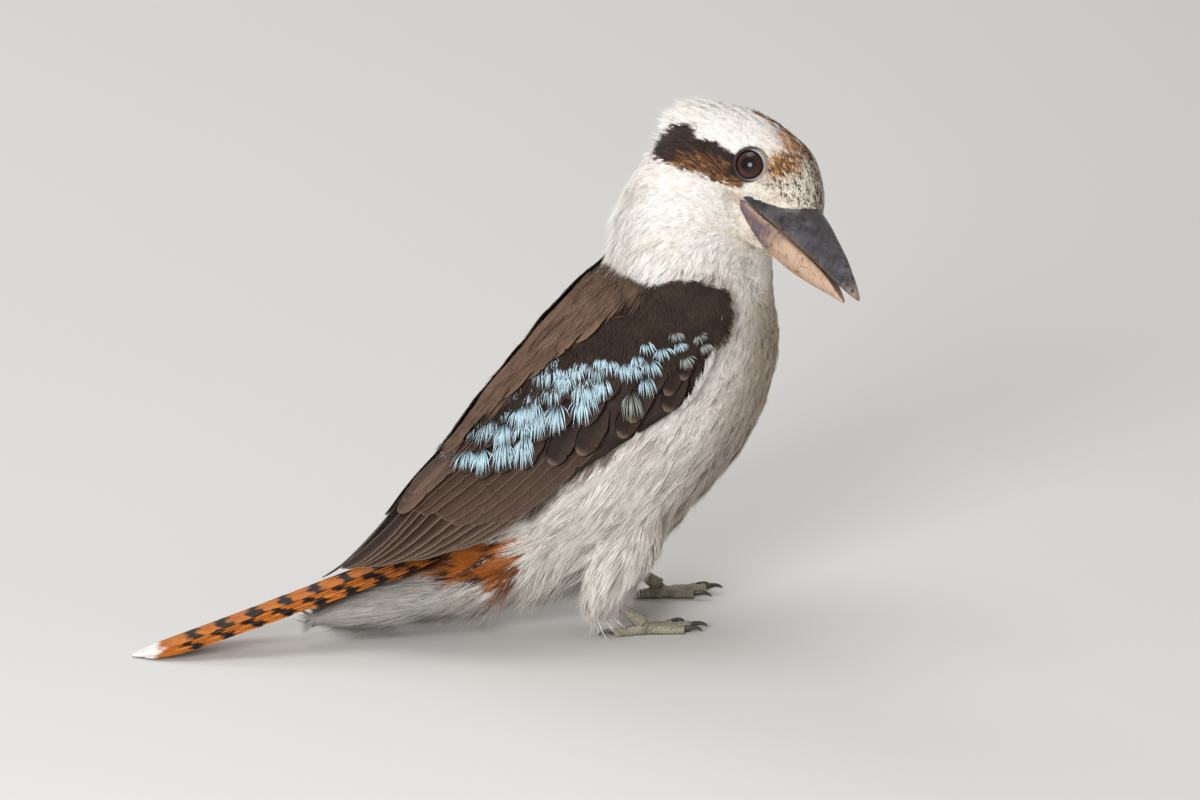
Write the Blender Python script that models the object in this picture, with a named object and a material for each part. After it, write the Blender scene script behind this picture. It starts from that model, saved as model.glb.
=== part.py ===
"""A laughing kookaburra standing on the ground with its head turned to its right, life size.

Lengths in this file are millimetres and MM makes them metres. The bird heads along +X, +Y is its
left and the floor is z = 0. The trunk and the head are lofts through a few named stations, joined
and then parted with thin cuts into the named pieces.
"""

import math
import random

import bmesh
import bpy
import numpy as np
from mathutils import Euler, Matrix, Vector

MM = 0.001
GAP = 0.32  # clearance between neighbouring pieces
CUT = 0.34  # width of a parting cut
WELD = 0.001
# Most triangles that a node keeps
LIMITS = {
    "head": 2100,
    "torso": 1100,
    "rump": 800,
    "undertail": 800,
    "wing": 2500,
    "tail": 1200,
    "thigh": 700,
    "foot": 800,
}

# Trunk from tail root to skull: centre x, y, z, tilt in degrees, dorsal, ventral and side radius
TRUNK = (
    (-104, 0, 39, 18, 3, 5, 5),
    (-98, 0, 40, 22, 8, 16, 14),
    (-84, 0, 46, 30, 17, 34, 24),
    (-66, 0, 57, 38, 28, 48, 33),
    (-46, 0, 71, 43, 38, 53.5, 41),
    (-22, 0, 93, 46, 46, 52.5, 45.5),
    (0, 0, 115, 52, 47, 49, 46.5),
    (12, 0, 137, 62, 42.5, 43, 42),
    (14, 0, 158, 71, 37.5, 37, 36.5),
    (16, 0, 178, 76, 35, 34, 33),
    (24, 1, 196, 72, 33, 31, 30),
    (33, 3, 209, 66, 26, 24, 25),
    (38, 4, 218, 62, 8, 8, 8),
)
TRUNK_RINGS = 27
TRUNK_SIDES = 26

# Parting planes: a point and the tilt in degrees of their normal, which leans forward from +X to +Z
NECK_BASE = ((13, 0, 151), 66)
NECK_TOP = ((20, 0, 181), 72)
RUMP_FRONT = ((-76, 0, 51), 36)

# Head: where the point between the eyes is, and the turn of its own frame, x along the bill, y left
HEAD_AT = (45.0, -18.0, 202.2)
HEAD_YAW, HEAD_PITCH, HEAD_ROLL = -66.0, 20.3, -30.2
# Head from nape to chin feathers: x, top, bottom and half width
HEAD = (
    (-59, -5, -10, 3),
    (-54, 2.6, -19, 13),
    (-46, 8.0, -25, 19.5),
    (-36, 13.0, -29, 22.5),
    (-24, 17.3, -31, 24.5),
    (-11, 19.2, -31, 23.6),
    (-4, 19.6, -28, 22.6),
    (2, 19.6, -23.5, 21.8),
    (8, 18.4, -19.5, 19.6),
    (15, 15.3, -16.5, 16.6),
    (21, 11.8, -14.5, 13.8),
    (27, 7.3, -12.0, 10.4),
    (32, 1.4, -9.0, 5),
)
HEAD_RINGS = 21
HEAD_SIDES = 24

EYE_AT = (2.1, 21.4, 0.4)
EYE_RADIUS = 7.6
EYE_DEPTH = 5.0  # from the middle of the eyeball out to the lids
EYE_LOOK = 20.0  # degrees forward of straight to the side
EYE_OPENING = 6.3
LID_RADIUS = 6.6
LID_THICK = 1.05

# Upper mandible: x, culmen, tomium and half width
BILL_UPPER = (
    (-4, -7, -13.2, 16.4),
    (8, -3.6, -13.5, 15.2),
    (18, -0.4, -13.7, 13.4),
    (28, 2.2, -13.9, 12.2),
    (38, 0.9, -14.2, 10.0),
    (48, -2.0, -14.6, 7.4),
    (58, -5.2, -15.2, 5.2),
    (67, -9.0, -15.9, 3.2),
    (73.5, -12.2, -16.0, 1.8),
    (77.4, -14.6, -15.8, 0.6),
)
# Lower mandible: x, tomium, keel and half width
BILL_LOWER = (
    (-2, -14.0, -21, 15.8),
    (8, -14.3, -24.5, 14.4),
    (18, -14.6, -26.0, 12.5),
    (28, -15.0, -26.6, 10.5),
    (38, -15.7, -26.6, 8.5),
    (48, -16.8, -25.6, 6.4),
    (58, -18.2, -24.0, 4.3),
    (66, -19.4, -22.2, 2.6),
    (71.4, -20.2, -21.2, 0.7),
)
NOSTRIL_AT = (33.5, 6.4, -4.2)
NOSTRIL_SIZE = (3.4, 1.3, 0.9)

# Folded wing hull from shoulder to tip: x, z, tilt in degrees, dorsal and side radius
WING_HULL = (
    (13, 143, 64, 42.5, 42),
    (0, 118, 54, 49.5, 49.5),
    (-22, 93, 46, 50, 49.5),
    (-46, 71, 43, 46.5, 47),
    (-70, 55, 40, 38, 43),
    (-93, 44, 36, 30.5, 37),
    (-116, 36, 31, 19.5, 27),
    (-138, 31, 26, 9, 17),
    (-152, 30, 22, 4.5, 10),
)
# Wing edges along the hull: upper and lower angle in degrees from the spine
WING_EDGES = (
    (52, 92),
    (32, 92),
    (16, 82),
    (8, 74),
    (5, 70),
    (5, 68),
    (8, 66),
    (22, 66),
    (48, 68),
)

# Where the feathers nearest the spine run: the right wing laps over the left one
NEAREST_RIGHT, NEAREST_LEFT = 5.0, 30.0
# The left wing's tip hangs this much lower and reaches this much farther, in hull stations
LEFT_DROP, LEFT_REACH = 5.5, 0.4
# Feather tiers: name, count, half width, half thickness, heights of root, middle and tip over the
# hull, degrees of roll that lay each feather's lower edge over the next feather, and the rows that
# roots and tips stand on, from the spine down, as hull station and angle
TIERS = (
    ("primary", 6, 5.2, 0.32, (-1.0, -0.2, -0.5), 10,
     ((3.6, 30), (3.4, 40), (3.1, 50), (2.7, 60), (2.3, 67)),
     ((7.5, 33), (7.05, 41), (6.5, 49), (6.0, 58), (5.3, 66.5))),
    ("secondary", 6, 6.8, 0.34, (-1.0, 0.8, 0.4), 6.5,
     ((3.3, 10), (3.0, 24), (2.6, 42), (2.1, 56), (1.6, 68)),
     ((6.0, 9), (5.55, 23), (5.1, 42), (4.7, 57), (3.9, 67))),
    ("tertial", 2, 7.6, 0.4, (-0.6, 2.2, 1.6), 5,
     ((3.2, 13), (2.9, 4)),
     ((6.4, 15), (5.6, 3))),
    ("greater_covert", 6, 7.2, 0.4, (-0.8, 2.0, 1.8), 5,
     ((2.9, 8), (2.6, 28), (2.2, 46), (1.5, 60), (0.8, 72), (0.2, 84)),
     ((4.35, 7), (4.2, 28), (3.8, 48), (3.0, 63), (2.1, 74), (1.1, 86))),
    ("median_covert", 6, 7.2, 0.4, (-0.6, 2.9, 2.7), 5,
     ((2.2, 10), (2.0, 26), (1.7, 42), (1.0, 56), (0.4, 70), (0.08, 82)),
     ((3.6, 9), (3.65, 27), (3.3, 44), (2.4, 58), (1.6, 70), (0.7, 84))),
    ("lesser_covert", 5, 8.0, 0.42, (-0.3, 3.5, 3.2), 4,
     ((1.3, 20), (1.0, 32), (0.6, 46), (0.2, 62), (0.08, 76)),
     ((2.7, 18), (2.4, 33), (1.8, 48), (1.1, 63), (0.35, 78))),
    ("scapular", 4, 9.0, 0.45, (-0.2, 4.3, 3.8), 3,
     ((1.9, 8), (1.3, 16), (0.7, 28), (0.15, 46)),
     ((4.2, 6), (3.3, 14), (2.2, 27), (1.2, 46))),
)
VANE_SHAPE = ((0.0, 0.5), (0.3, 0.85), (0.62, 1.0), (0.88, 0.8), (1.0, 0.25))  # share along, share of width
DROOP = 0.07  # how far a vane's edges fall below its shaft, as a share of its half width

# Tail: where it leaves the rump, its tip on the floor, and its half widths
TAIL_ROOT = (-92, 0, 41.5)
TAIL_TIP = (-240, 0, -1.4)
TAIL_CORE = (8.5, 3.4, 0.3)  # half width, half height and share of the tail's length
TAIL_SAG = 2.6
RECTRICES = 12
RECTRIX_HALF = 5.4
RECTRIX_SPREAD = (1.1, 1.75)  # sideways step from one feather to the next at root and tip
RECTRIX_STEP = 0.62  # each outer feather lies this much lower
RECTRIX_SHORTER = 1.6  # and ends this much sooner
# Undertail coverts: centre x, z, half height and half width
UNDERTAIL = (
    (-74, 27, 13, 22),
    (-92, 23.5, 12.8, 21),
    (-112, 19.5, 11.2, 18),
    (-132, 15.6, 8.8, 14),
    (-145, 13.2, 5.6, 9),
    (-154, 12.2, 2.2, 4),
)

# Legs: right ankle and right foot base; the left ones are set further forward
ANKLE = (-37, 27.5, 22)
FOOT = (-16, 25, 5.4)
LEFT_STEP = 21
SHANK_RADIUS = 2.5
THIGH_LOCKS = 7
VENT_LOCKS = 7
CREST_LOCKS = 7
COVERT_COUNT = 5
# Thigh from hip to ankle, offsets from the ankle: x, y, z and radius
THIGH = (
    (24, -9, 44, 9),
    (19, -3, 31, 15),
    (10, 1.5, 15, 12.5),
    (3, 0.8, 3, 9),
    (0.5, 0, -4.5, 6),
)
# Toes: name, turn in degrees outwards, length and radius at the base
TOES = (
    ("inner", -22, 15.5, 2.5),
    ("middle", 2, 21.5, 2.8),
    ("outer", 14, 18.5, 2.5),
    ("hind", 176, 12.5, 2.5),
)
TOE_SIDES = 8
CLAW_LENGTH = 7.5
CLAW_RADIUS = 1.35

COLOURS = {
    "torso": (0.78, 0.76, 0.72),
    "neck": (0.84, 0.82, 0.78),
    "rump": (0.62, 0.42, 0.26),
    "undertail": (0.84, 0.82, 0.78),
    "head": (0.85, 0.83, 0.78),
    "bill_upper": (0.05, 0.05, 0.06),
    "bill_lower": (0.62, 0.52, 0.42),
    "eye": (0.09, 0.04, 0.03),
    "wing": (0.12, 0.08, 0.06),
    "tail": (0.50, 0.20, 0.07),
    "thigh": (0.80, 0.78, 0.74),
    "shank": (0.42, 0.40, 0.33),
    "foot": (0.40, 0.38, 0.31),
    "claw": (0.10, 0.09, 0.08),
}


def clear_scene():
    for obj in list(bpy.data.objects):
        bpy.data.objects.remove(obj, do_unlink=True)


def new_collection(name):
    made = bpy.data.collections.new(name)
    bpy.context.scene.collection.children.link(made)
    return made


def between(stations, s):
    """The row at s stations along, on a smooth curve through the named rows."""
    rows = np.asarray(stations, float)
    i = int(min(max(math.floor(s), 0), len(rows) - 2))
    t = s - i
    a, b = rows[max(i - 1, 0)], rows[i]
    c, d = rows[i + 1], rows[min(i + 2, len(rows) - 1)]
    return 0.5 * (2 * b + (c - a) * t + (2 * a - 5 * b + 4 * c - d) * t**2 + (3 * b - a - 3 * c + d) * t**3)


def rows_along(stations, count):
    return [between(stations, s) for s in np.linspace(0, len(stations) - 1, count)]


def new_object(name, points, faces, where):
    mesh = bpy.data.meshes.new(name)
    mesh.from_pydata([tuple(float(c) * MM for c in p) for p in points], [], faces)
    mesh.update()
    obj = bpy.data.objects.new(name, mesh)
    where.objects.link(obj)
    return obj


def loft(name, rings, where):
    """A closed skin over rings of equal count, each end closed by a fan."""
    sides = len(rings[0])
    points = [p for ring in rings for p in ring]
    faces = []
    for i in range(len(rings) - 1):
        a, b = i * sides, (i + 1) * sides
        for j in range(sides):
            k = (j + 1) % sides
            faces += [(a + j, a + k, b + k), (a + j, b + k, b + j)]
    for ring, turn in ((0, 1), (len(rings) - 1, -1)):
        first = ring * sides
        points.append(np.mean(rings[ring], axis=0))
        for j in range(sides):
            faces.append((len(points) - 1, first + (j + 1) % sides, first + j)[::turn])
    obj = new_object(name, points, faces, where)
    face_outwards(obj)
    return obj


def face_outwards(obj):
    bm = bmesh.new()
    bm.from_mesh(obj.data)
    bmesh.ops.recalc_face_normals(bm, faces=bm.faces)
    if bm.calc_volume(signed=True) < 0:
        bmesh.ops.reverse_faces(bm, faces=bm.faces)
    bm.to_mesh(obj.data)
    bm.free()


def keep_largest(obj):
    """Leaves only the largest closed surface, which drops scraps and fills sealed hollows."""
    bm = bmesh.new()
    bm.from_mesh(obj.data)
    bmesh.ops.triangulate(bm, faces=bm.faces)
    left = set(bm.faces)
    shells = []
    while left:
        shell, front = set(), [left.pop()]
        while front:
            face = front.pop()
            shell.add(face)
            for edge in face.edges:
                for other in edge.link_faces:
                    if other in left:
                        left.discard(other)
                        front.append(other)
        size = sum(f.verts[0].co.dot(f.verts[1].co.cross(f.verts[2].co)) for f in shell)
        shells.append((abs(size), shell))
    best = max(shells, key=lambda entry: entry[0])[1]
    bmesh.ops.delete(bm, geom=[f for f in bm.faces if f not in best], context="FACES")
    bm.to_mesh(obj.data)
    bm.free()


def apply_modifiers(obj):
    graph = bpy.context.evaluated_depsgraph_get()
    made = bpy.data.meshes.new_from_object(obj.evaluated_get(graph))
    obj.modifiers.clear()
    obj.data = made


def combine(obj, others, operation, solver="EXACT"):
    """One Boolean of obj with the other objects, which are removed afterwards."""
    held = new_collection("combine")
    for other in others:
        for home in list(other.users_collection):
            home.objects.unlink(other)
        held.objects.link(other)
    modifier = obj.modifiers.new(operation.lower(), "BOOLEAN")
    modifier.operation = operation
    modifier.solver = solver
    modifier.operand_type = "COLLECTION"
    modifier.collection = held
    apply_modifiers(obj)
    for other in list(held.objects):
        bpy.data.objects.remove(other, do_unlink=True)
    bpy.data.collections.remove(held)
    keep_largest(obj)
    return obj


def lighten(obj, limit):
    """Joins points that a Boolean left nearly together, and brings obj down to a number of triangles."""
    bm = bmesh.new()
    bm.from_mesh(obj.data)
    bmesh.ops.remove_doubles(bm, verts=bm.verts, dist=WELD * MM)
    bmesh.ops.dissolve_degenerate(bm, edges=bm.edges, dist=WELD * MM)
    bmesh.ops.triangulate(bm, faces=bm.faces)
    bm.to_mesh(obj.data)
    bm.free()
    count = len(obj.data.polygons)
    if count > limit:
        modifier = obj.modifiers.new("lighten", "DECIMATE")
        modifier.ratio = limit / count
        modifier.use_collapse_triangulate = True
        apply_modifiers(obj)
    keep_largest(obj)


def copy_of(obj, name, where):
    made = bpy.data.objects.new(name, obj.data.copy())
    where.objects.link(made)
    return made


def tilted(tilt):
    """Forward and dorsal directions of a section whose axis rises by tilt degrees."""
    a = math.radians(tilt)
    return np.array((math.cos(a), 0, math.sin(a))), np.array((-math.sin(a), 0, math.cos(a)))


def keep_side(obj, plane, keep_front, shift):
    """Cuts obj at a plane moved by shift along its normal, keeps one side and closes it."""
    point, tilt = plane
    normal, _ = tilted(tilt)
    bm = bmesh.new()
    bm.from_mesh(obj.data)
    made = bmesh.ops.bisect_plane(
        bm,
        geom=bm.verts[:] + bm.edges[:] + bm.faces[:],
        dist=1e-7,
        plane_co=Vector((np.array(point) + normal * shift) * MM),
        plane_no=Vector(normal),
        clear_inner=keep_front,
        clear_outer=not keep_front,
    )
    rim = [e for e in made["geom_cut"] if isinstance(e, bmesh.types.BMEdge)]
    bmesh.ops.holes_fill(bm, edges=rim)
    bmesh.ops.triangulate(bm, faces=bm.faces)
    bm.to_mesh(obj.data)
    bm.free()
    keep_largest(obj)


def ellipse_ring(centre, up, side, above, below, half, count):
    ring = []
    for a in np.linspace(0, 2 * math.pi, count, endpoint=False):
        height = (above if math.cos(a) > 0 else below) * math.cos(a)
        ring.append(np.asarray(centre) + up * height + side * half * math.sin(a))
    return ring


def trunk(name, where, grow=0.0):
    rings = []
    for x, y, z, tilt, above, below, half in rows_along(TRUNK, TRUNK_RINGS):
        _, dorsal = tilted(tilt)
        rings.append(
            ellipse_ring((x, y, z), dorsal, np.array((0, 1, 0)), above + grow, below + grow, half + grow, TRUNK_SIDES)
        )
    return loft(name, rings, where)


def undertail(name, where, grow=0.0):
    up, side = np.array((0.2, 0, 0.98)), np.array((0, 1, 0))
    rings = [
        ellipse_ring((x, 0, z), up, side, high + grow, high + grow, half + grow, 18)
        for x, z, high, half in rows_along(UNDERTAIL, 11)
    ]
    return loft(name, rings, where)


def head_matrix():
    turn = Euler(tuple(math.radians(a) for a in (HEAD_ROLL, HEAD_PITCH, HEAD_YAW)), "XYZ").to_matrix()
    return Matrix.Translation(Vector(HEAD_AT)) @ turn.to_4x4()


def on_head(points):
    matrix = head_matrix()
    return [np.array(matrix @ Vector(tuple(p))) for p in points]


def head_shape(name, where):
    up, side = np.array((0, 0, 1)), np.array((0, 1, 0))
    rings = []
    for x, top, bottom, half in rows_along(HEAD, HEAD_RINGS):
        middle, high = (top + bottom) / 2, (top - bottom) / 2
        rings.append(on_head(ellipse_ring((x, 0, middle), up, side, high, high, half, HEAD_SIDES)))
    return loft(name, rings, where)


def upper_mandible(name, where, grow=0.0):
    """An arched section with a flat underside, from inside the cheeks to the hooked tip."""
    rings = []
    for x, culmen, tomium, half in rows_along(BILL_UPPER, 15):
        x += grow * (2 * (x > 20) - 1)
        high = culmen - tomium + grow
        ring = []
        for a in np.linspace(0, math.pi, 9):
            ring.append((x, (half + grow) * math.cos(a), tomium + high * math.sin(a) ** 0.8))
        for share in (-0.45, 0.45):
            ring.append((x, (half + grow) * share, tomium - grow + 0.02))
        ring[0] = (x, half + grow, tomium - grow)
        ring[8] = (x, -half - grow, tomium - grow)
        rings.append(on_head(ring))
    return loft(name, rings, where)


def lower_mandible(name, where, grow=0.0):
    """A keeled trough whose flat top meets the upper mandible."""
    rings = []
    for x, tomium, keel, half in rows_along(BILL_LOWER, 13):
        x += grow * (2 * (x > 20) - 1)
        deep = tomium - keel + grow
        ring = []
        for a in np.linspace(0, math.pi, 9):
            ring.append((x, (half + grow) * math.cos(a), tomium - deep * math.sin(a) ** 0.85))
        for share in (-0.45, 0.45):
            ring.append((x, (half + grow) * share, tomium + grow - 0.02))
        ring[0] = (x, half + grow, tomium + grow)
        ring[8] = (x, -half - grow, tomium + grow)
        rings.append(on_head(ring))
    return loft(name, rings, where)


def eye_axis(side):
    a = math.radians(EYE_LOOK)
    return Vector((math.sin(a), side * math.cos(a), 0))


def eyeball(name, side, radius, where, segments=18, rings=11):
    centre = Vector((EYE_AT[0], side * EYE_AT[1], EYE_AT[2])) - eye_axis(side) * EYE_DEPTH
    bm = bmesh.new()
    bmesh.ops.create_uvsphere(bm, u_segments=segments, v_segments=rings, radius=radius)
    turn = Vector((0, 0, 1)).rotation_difference(eye_axis(side)).to_matrix().to_4x4()
    bmesh.ops.transform(bm, matrix=head_matrix() @ Matrix.Translation(centre) @ turn, verts=bm.verts)
    bmesh.ops.scale(bm, vec=Vector((MM, MM, MM)), verts=bm.verts)
    bmesh.ops.triangulate(bm, faces=bm.faces)
    mesh = bpy.data.meshes.new(name)
    bm.to_mesh(mesh)
    bm.free()
    obj = bpy.data.objects.new(name, mesh)
    where.objects.link(obj)
    return obj


def lids(name, side, where):
    """A ring of lid round the eye, its middle half sunk in the face."""
    axis = eye_axis(side)
    centre = Vector((EYE_AT[0], side * EYE_AT[1], EYE_AT[2])) + axis * 0.1
    turn = Vector((0, 0, 1)).rotation_difference(axis).to_matrix()
    rings = []
    for a in np.linspace(0, 2 * math.pi, 20, endpoint=False):
        out = turn @ Vector((math.cos(a), math.sin(a), 0))
        ring = []
        for b in np.linspace(0, 2 * math.pi, 6, endpoint=False):
            spot = centre + out * (LID_RADIUS + LID_THICK * math.cos(b)) + axis * LID_THICK * math.sin(b)
            ring.append(tuple(spot))
        rings.append(on_head(ring))
    count, sides = len(rings), 6
    faces = []
    for i in range(count):
        a, b = i * sides, (i + 1) % count * sides
        for j in range(sides):
            k = (j + 1) % sides
            faces += [(a + j, a + k, b + k), (a + j, b + k, b + j)]
    obj = new_object(name, [p for ring in rings for p in ring], faces, where)
    face_outwards(obj)
    return obj


def nostril(name, side, where):
    bm = bmesh.new()
    bmesh.ops.create_uvsphere(bm, u_segments=10, v_segments=6, radius=1.0)
    bmesh.ops.scale(bm, vec=Vector(NOSTRIL_SIZE), verts=bm.verts)
    place = Matrix.Translation(Vector((NOSTRIL_AT[0], side * NOSTRIL_AT[1], NOSTRIL_AT[2])))
    turn = Euler((0, math.radians(14), math.radians(-side * 14)), "XYZ").to_matrix().to_4x4()
    bmesh.ops.transform(bm, matrix=head_matrix() @ place @ turn, verts=bm.verts)
    bmesh.ops.scale(bm, vec=Vector((MM, MM, MM)), verts=bm.verts)
    bmesh.ops.triangulate(bm, faces=bm.faces)
    mesh = bpy.data.meshes.new(name)
    bm.to_mesh(mesh)
    bm.free()
    obj = bpy.data.objects.new(name, mesh)
    where.objects.link(obj)
    return obj


def hull_spot(k, angle, lift, side):
    """A point lift above the folded wing's hull, k stations along and angle degrees off the spine."""
    x, z, tilt, above, half = between(WING_HULL, k)
    if side > 0:
        z -= LEFT_DROP * max(0.0, (k - 4) / 4)
    _, dorsal = tilted(tilt)
    a = math.radians(angle)
    out = dorsal * (above + lift) * math.cos(a) + np.array((0, side, 0)) * (half + lift) * math.sin(a)
    return np.array((x, 0, z)) + out


def leaf(name, frames, where):
    """A thin closed vane through frames of centre, side, normal, half width and half thickness.

    Both faces are split into triangles along the same diagonals.
    """
    points, faces = [], []
    for centre, side, normal, half, thick in frames:
        edge = centre - normal * DROOP * half
        points += [edge - side * half, centre + normal * thick, edge + side * half, centre - normal * thick]
    for i in range(len(frames) - 1):
        left, top, right, low = range(4 * i, 4 * i + 4)
        next_left, next_top, next_right, next_low = range(4 * i + 4, 4 * i + 8)
        for edge, next_edge in ((left, next_left), (right, next_right)):
            for ridge, next_ridge in ((top, next_top), (low, next_low)):
                faces += [(edge, ridge, next_ridge), (edge, next_ridge, next_edge)]
    for left, top, right, low in (range(4), range(len(points) - 4, len(points))):
        faces += [(left, top, low), (right, top, low)]
    obj = new_object(name, points, faces, where)
    face_outwards(obj)
    return obj


def nearest(angle, side):
    """Keeps the upper feathers of the two wings clear of each other along the spine."""
    if side < 0:
        return max(angle, NEAREST_RIGHT)
    return max(angle, NEAREST_LEFT + angle * (1 - NEAREST_LEFT / 45))


def hull_frame(k, angle, lift, side):
    """A point over the hull with its outward normal."""
    step = 0.02
    centre = hull_spot(k, angle, lift, side)
    along = hull_spot(k + step, angle, lift, side) - centre
    round_it = hull_spot(k, angle + 1, lift, side) - centre
    normal = np.cross(along, round_it) * side
    return centre, normal / np.linalg.norm(normal)


def hull_vane(name, side, root, tip, half, thick, heights, roll, where):
    """One wing feather from root to tip, each given as hull station and angle."""
    def spot(f):
        k, angle = (root[c] + (tip[c] - root[c]) * f for c in (0, 1))
        return hull_frame(k, angle, np.interp(f, (0, 0.5, 1), heights), side)

    frames = []
    for f, share in VANE_SHAPE:
        centre, normal = spot(f)
        along = spot(min(f + 0.05, 1.05))[0] - spot(f - 0.05)[0]
        across = np.cross(normal, along)
        across /= np.linalg.norm(across)
        turn = -math.radians(roll) * side
        rolled = across * math.cos(turn) + normal * math.sin(turn)
        frames.append((centre, rolled, np.cross(along / np.linalg.norm(along), rolled), half * share, thick))
    return leaf(name, frames, where)


def wing_feathers(side, draw, where):
    made = []
    for tier, count, half, thick, heights, roll, roots, tips in TIERS:
        for i in range(count):
            share = (i + 0.5) / count
            root, tip = (between(row, share * (len(row) - 1)) for row in (roots, tips))
            tip = tip + (draw.uniform(-0.06, 0.06), draw.uniform(-0.6, 0.6))
            if tier == "primary" and side > 0:
                tip = tip + (LEFT_REACH, 0)
            root, tip = ((k, nearest(angle, side)) for k, angle in (root, tip))
            wide = half * draw.uniform(0.94, 1.06)
            made.append(hull_vane(f"{tier}_{i}", side, root, tip, wide, thick, heights, roll, where))
    return made


def wing_core(name, side, where):
    """The closed plate that the feathers stand on; the body is cut out of its inner face."""
    rings = []
    for k in np.linspace(0.06, 4.7, 9):
        upper, lower = between(WING_EDGES, k)
        upper = nearest(upper, side) + 3
        share = np.linspace(0, 1, 5)
        edge = 0.3 + 0.7 * np.sin(math.pi * share) ** 0.5
        deep = -1.0 - 5.5 * min(1.0, max(0.0, 4.4 - k) / 1.6)
        angles = upper + (lower - upper) * share
        top = [hull_spot(k, a, 0.5 * e, side) for a, e in zip(angles, edge)]
        bottom = [hull_spot(k, a, deep * e - 0.5, side) for a, e in zip(angles, edge)]
        rings.append(top + bottom[::-1])
    return loft(name, rings, where)


def wing(side, body_cutter, where):
    made = wing_core("wing_left" if side > 0 else "wing_right", side, where)
    combine(made, wing_feathers(side, random.Random(11 + side), where), "UNION", "MANIFOLD")
    return combine(made, [copy_of(body_cutter, "cutter", where)], "DIFFERENCE", "MANIFOLD")


def tail_line(f):
    """A point on the tail's middle line with the directions along it and up."""
    root, tip = np.array(TAIL_ROOT, float), np.array(TAIL_TIP, float)
    along = (tip - root) / np.linalg.norm(tip - root)
    up = np.array((along[2], 0, -along[0]))
    return root + (tip - root) * f - up * TAIL_SAG * 4 * f * (1 - f), along, up


def tail(where):
    side = np.array((0, 1.0, 0))
    wide, high, reach = TAIL_CORE
    rings = []
    for f in np.linspace(0, reach, 5):
        centre, _, up = tail_line(f)
        thin = 1 - 0.75 * (f / reach) ** 2
        rings.append(ellipse_ring(centre - up * 1.6, up, side, high * thin, high * thin, wide, 12))
    made = loft("tail", rings, where)
    vanes = []
    for i in range(RECTRICES):
        place = i - (RECTRICES - 1) / 2
        rank = abs(place)
        frames = []
        for f, share in ((0.03, 0.5), (0.3, 0.85), (0.62, 1.0), (0.9, 0.97), (1.0, 0.4)):
            shorter = rank * RECTRIX_SHORTER / np.linalg.norm(np.subtract(TAIL_TIP, TAIL_ROOT))
            centre, _, up = tail_line(f * (1 - shorter))
            step = RECTRIX_SPREAD[0] + (RECTRIX_SPREAD[1] - RECTRIX_SPREAD[0]) * f
            low = rank * RECTRIX_STEP * (1 - 0.45 * f) + (0.3 if place > 0 else 0)
            spot = centre + side * place * step + up * (1.2 - low)
            spot[2] = max(spot[2], 0.2 + 0.12 * (RECTRICES / 2 - rank))
            frames.append((spot, side, up, RECTRIX_HALF * share, 0.38))
        vanes.append(leaf(f"rectrix_{i}", frames, where))
    combine(made, vanes, "UNION")
    keep_side(made, ((0, 0, 0), 90), True, 0)
    return made


def lock(name, start, end, normal, half, thick, bend, where):
    """A flat tapered lock from start to end that bows along its normal."""
    start, end, normal = (np.asarray(v, float) for v in (start, end, normal))
    along = (end - start) / np.linalg.norm(end - start)
    normal = normal - along * (normal @ along)
    normal /= np.linalg.norm(normal)
    across = np.cross(normal, along)
    frames = []
    for f, share in ((0.0, 0.75), (0.4, 1.0), (0.75, 0.7), (1.0, 0.12)):
        centre = start + (end - start) * f + normal * bend * math.sin(math.pi * f)
        frames.append((centre, across, normal, half * share, thick * (1 - 0.6 * f)))
    return leaf(name, frames, where)


def head_section(x, turn, share):
    """A point of the skull's section at x, turn radians from its top, at a share of its radius."""
    top, bottom, half = (np.interp(x, [row[0] for row in HEAD], [row[c] for row in HEAD]) for c in (1, 2, 3))
    return (x, half * share * math.sin(turn), (top + bottom) / 2 + (top - bottom) / 2 * share * math.cos(turn))


def crest_locks(draw, where):
    """Ragged locks at the back of the head that lie close to it."""
    made = []
    for i in range(CREST_LOCKS):
        turn = math.radians(-95 + 190 * (i + 0.5) / CREST_LOCKS)
        root = -42 - 4 * (i % 2)
        length = draw.uniform(10, 13)
        start, end, out, foot = on_head(
            [
                head_section(root, turn, 0.93),
                head_section(root - length, turn, 1.0 if length < 12 else 1.04),
                (0.5, math.sin(turn), math.cos(turn)),
                (0, 0, 0),
            ]
        )
        made.append(lock(f"crest_{i}", start, end, out - foot, draw.uniform(4.6, 5.4), 0.8, 2.2, where))
    return made


def upper_tail_coverts(draw, where):
    made = []
    for i in range(COVERT_COUNT):
        place = i - (COVERT_COUNT - 1) / 2
        start = np.array((-88.0, place * 4.6, 55 - 0.45 * place**2))
        centre, _, up = tail_line(0.24 - 0.012 * abs(place) + draw.uniform(-0.01, 0.01))
        end = centre + up * (5.2 - 0.35 * abs(place)) + np.array((0, place * 3.6, 0))
        made.append(lock(f"upper_covert_{i}", start, end, (0.2, 0.12 * place, 1), 5.6, 0.5, 1.0, where))
    return made


def undertail_locks(draw, where):
    """White coverts that end in loose points under the tail."""
    made = []
    for i in range(COVERT_COUNT):
        place = i - (COVERT_COUNT - 1) / 2
        start = np.array((-130.0, place * 4.2, 16.5 - 0.5 * abs(place)))
        end = np.array((-161.0 + 2.0 * place**2, place * 4.6, 11.5 + draw.uniform(-1.2, 0.6)))
        made.append(lock(f"under_covert_{i}", start, end, (0.15, 0.1 * place, 1), 5.6, 0.9, 0.6, where))
    return made


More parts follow.
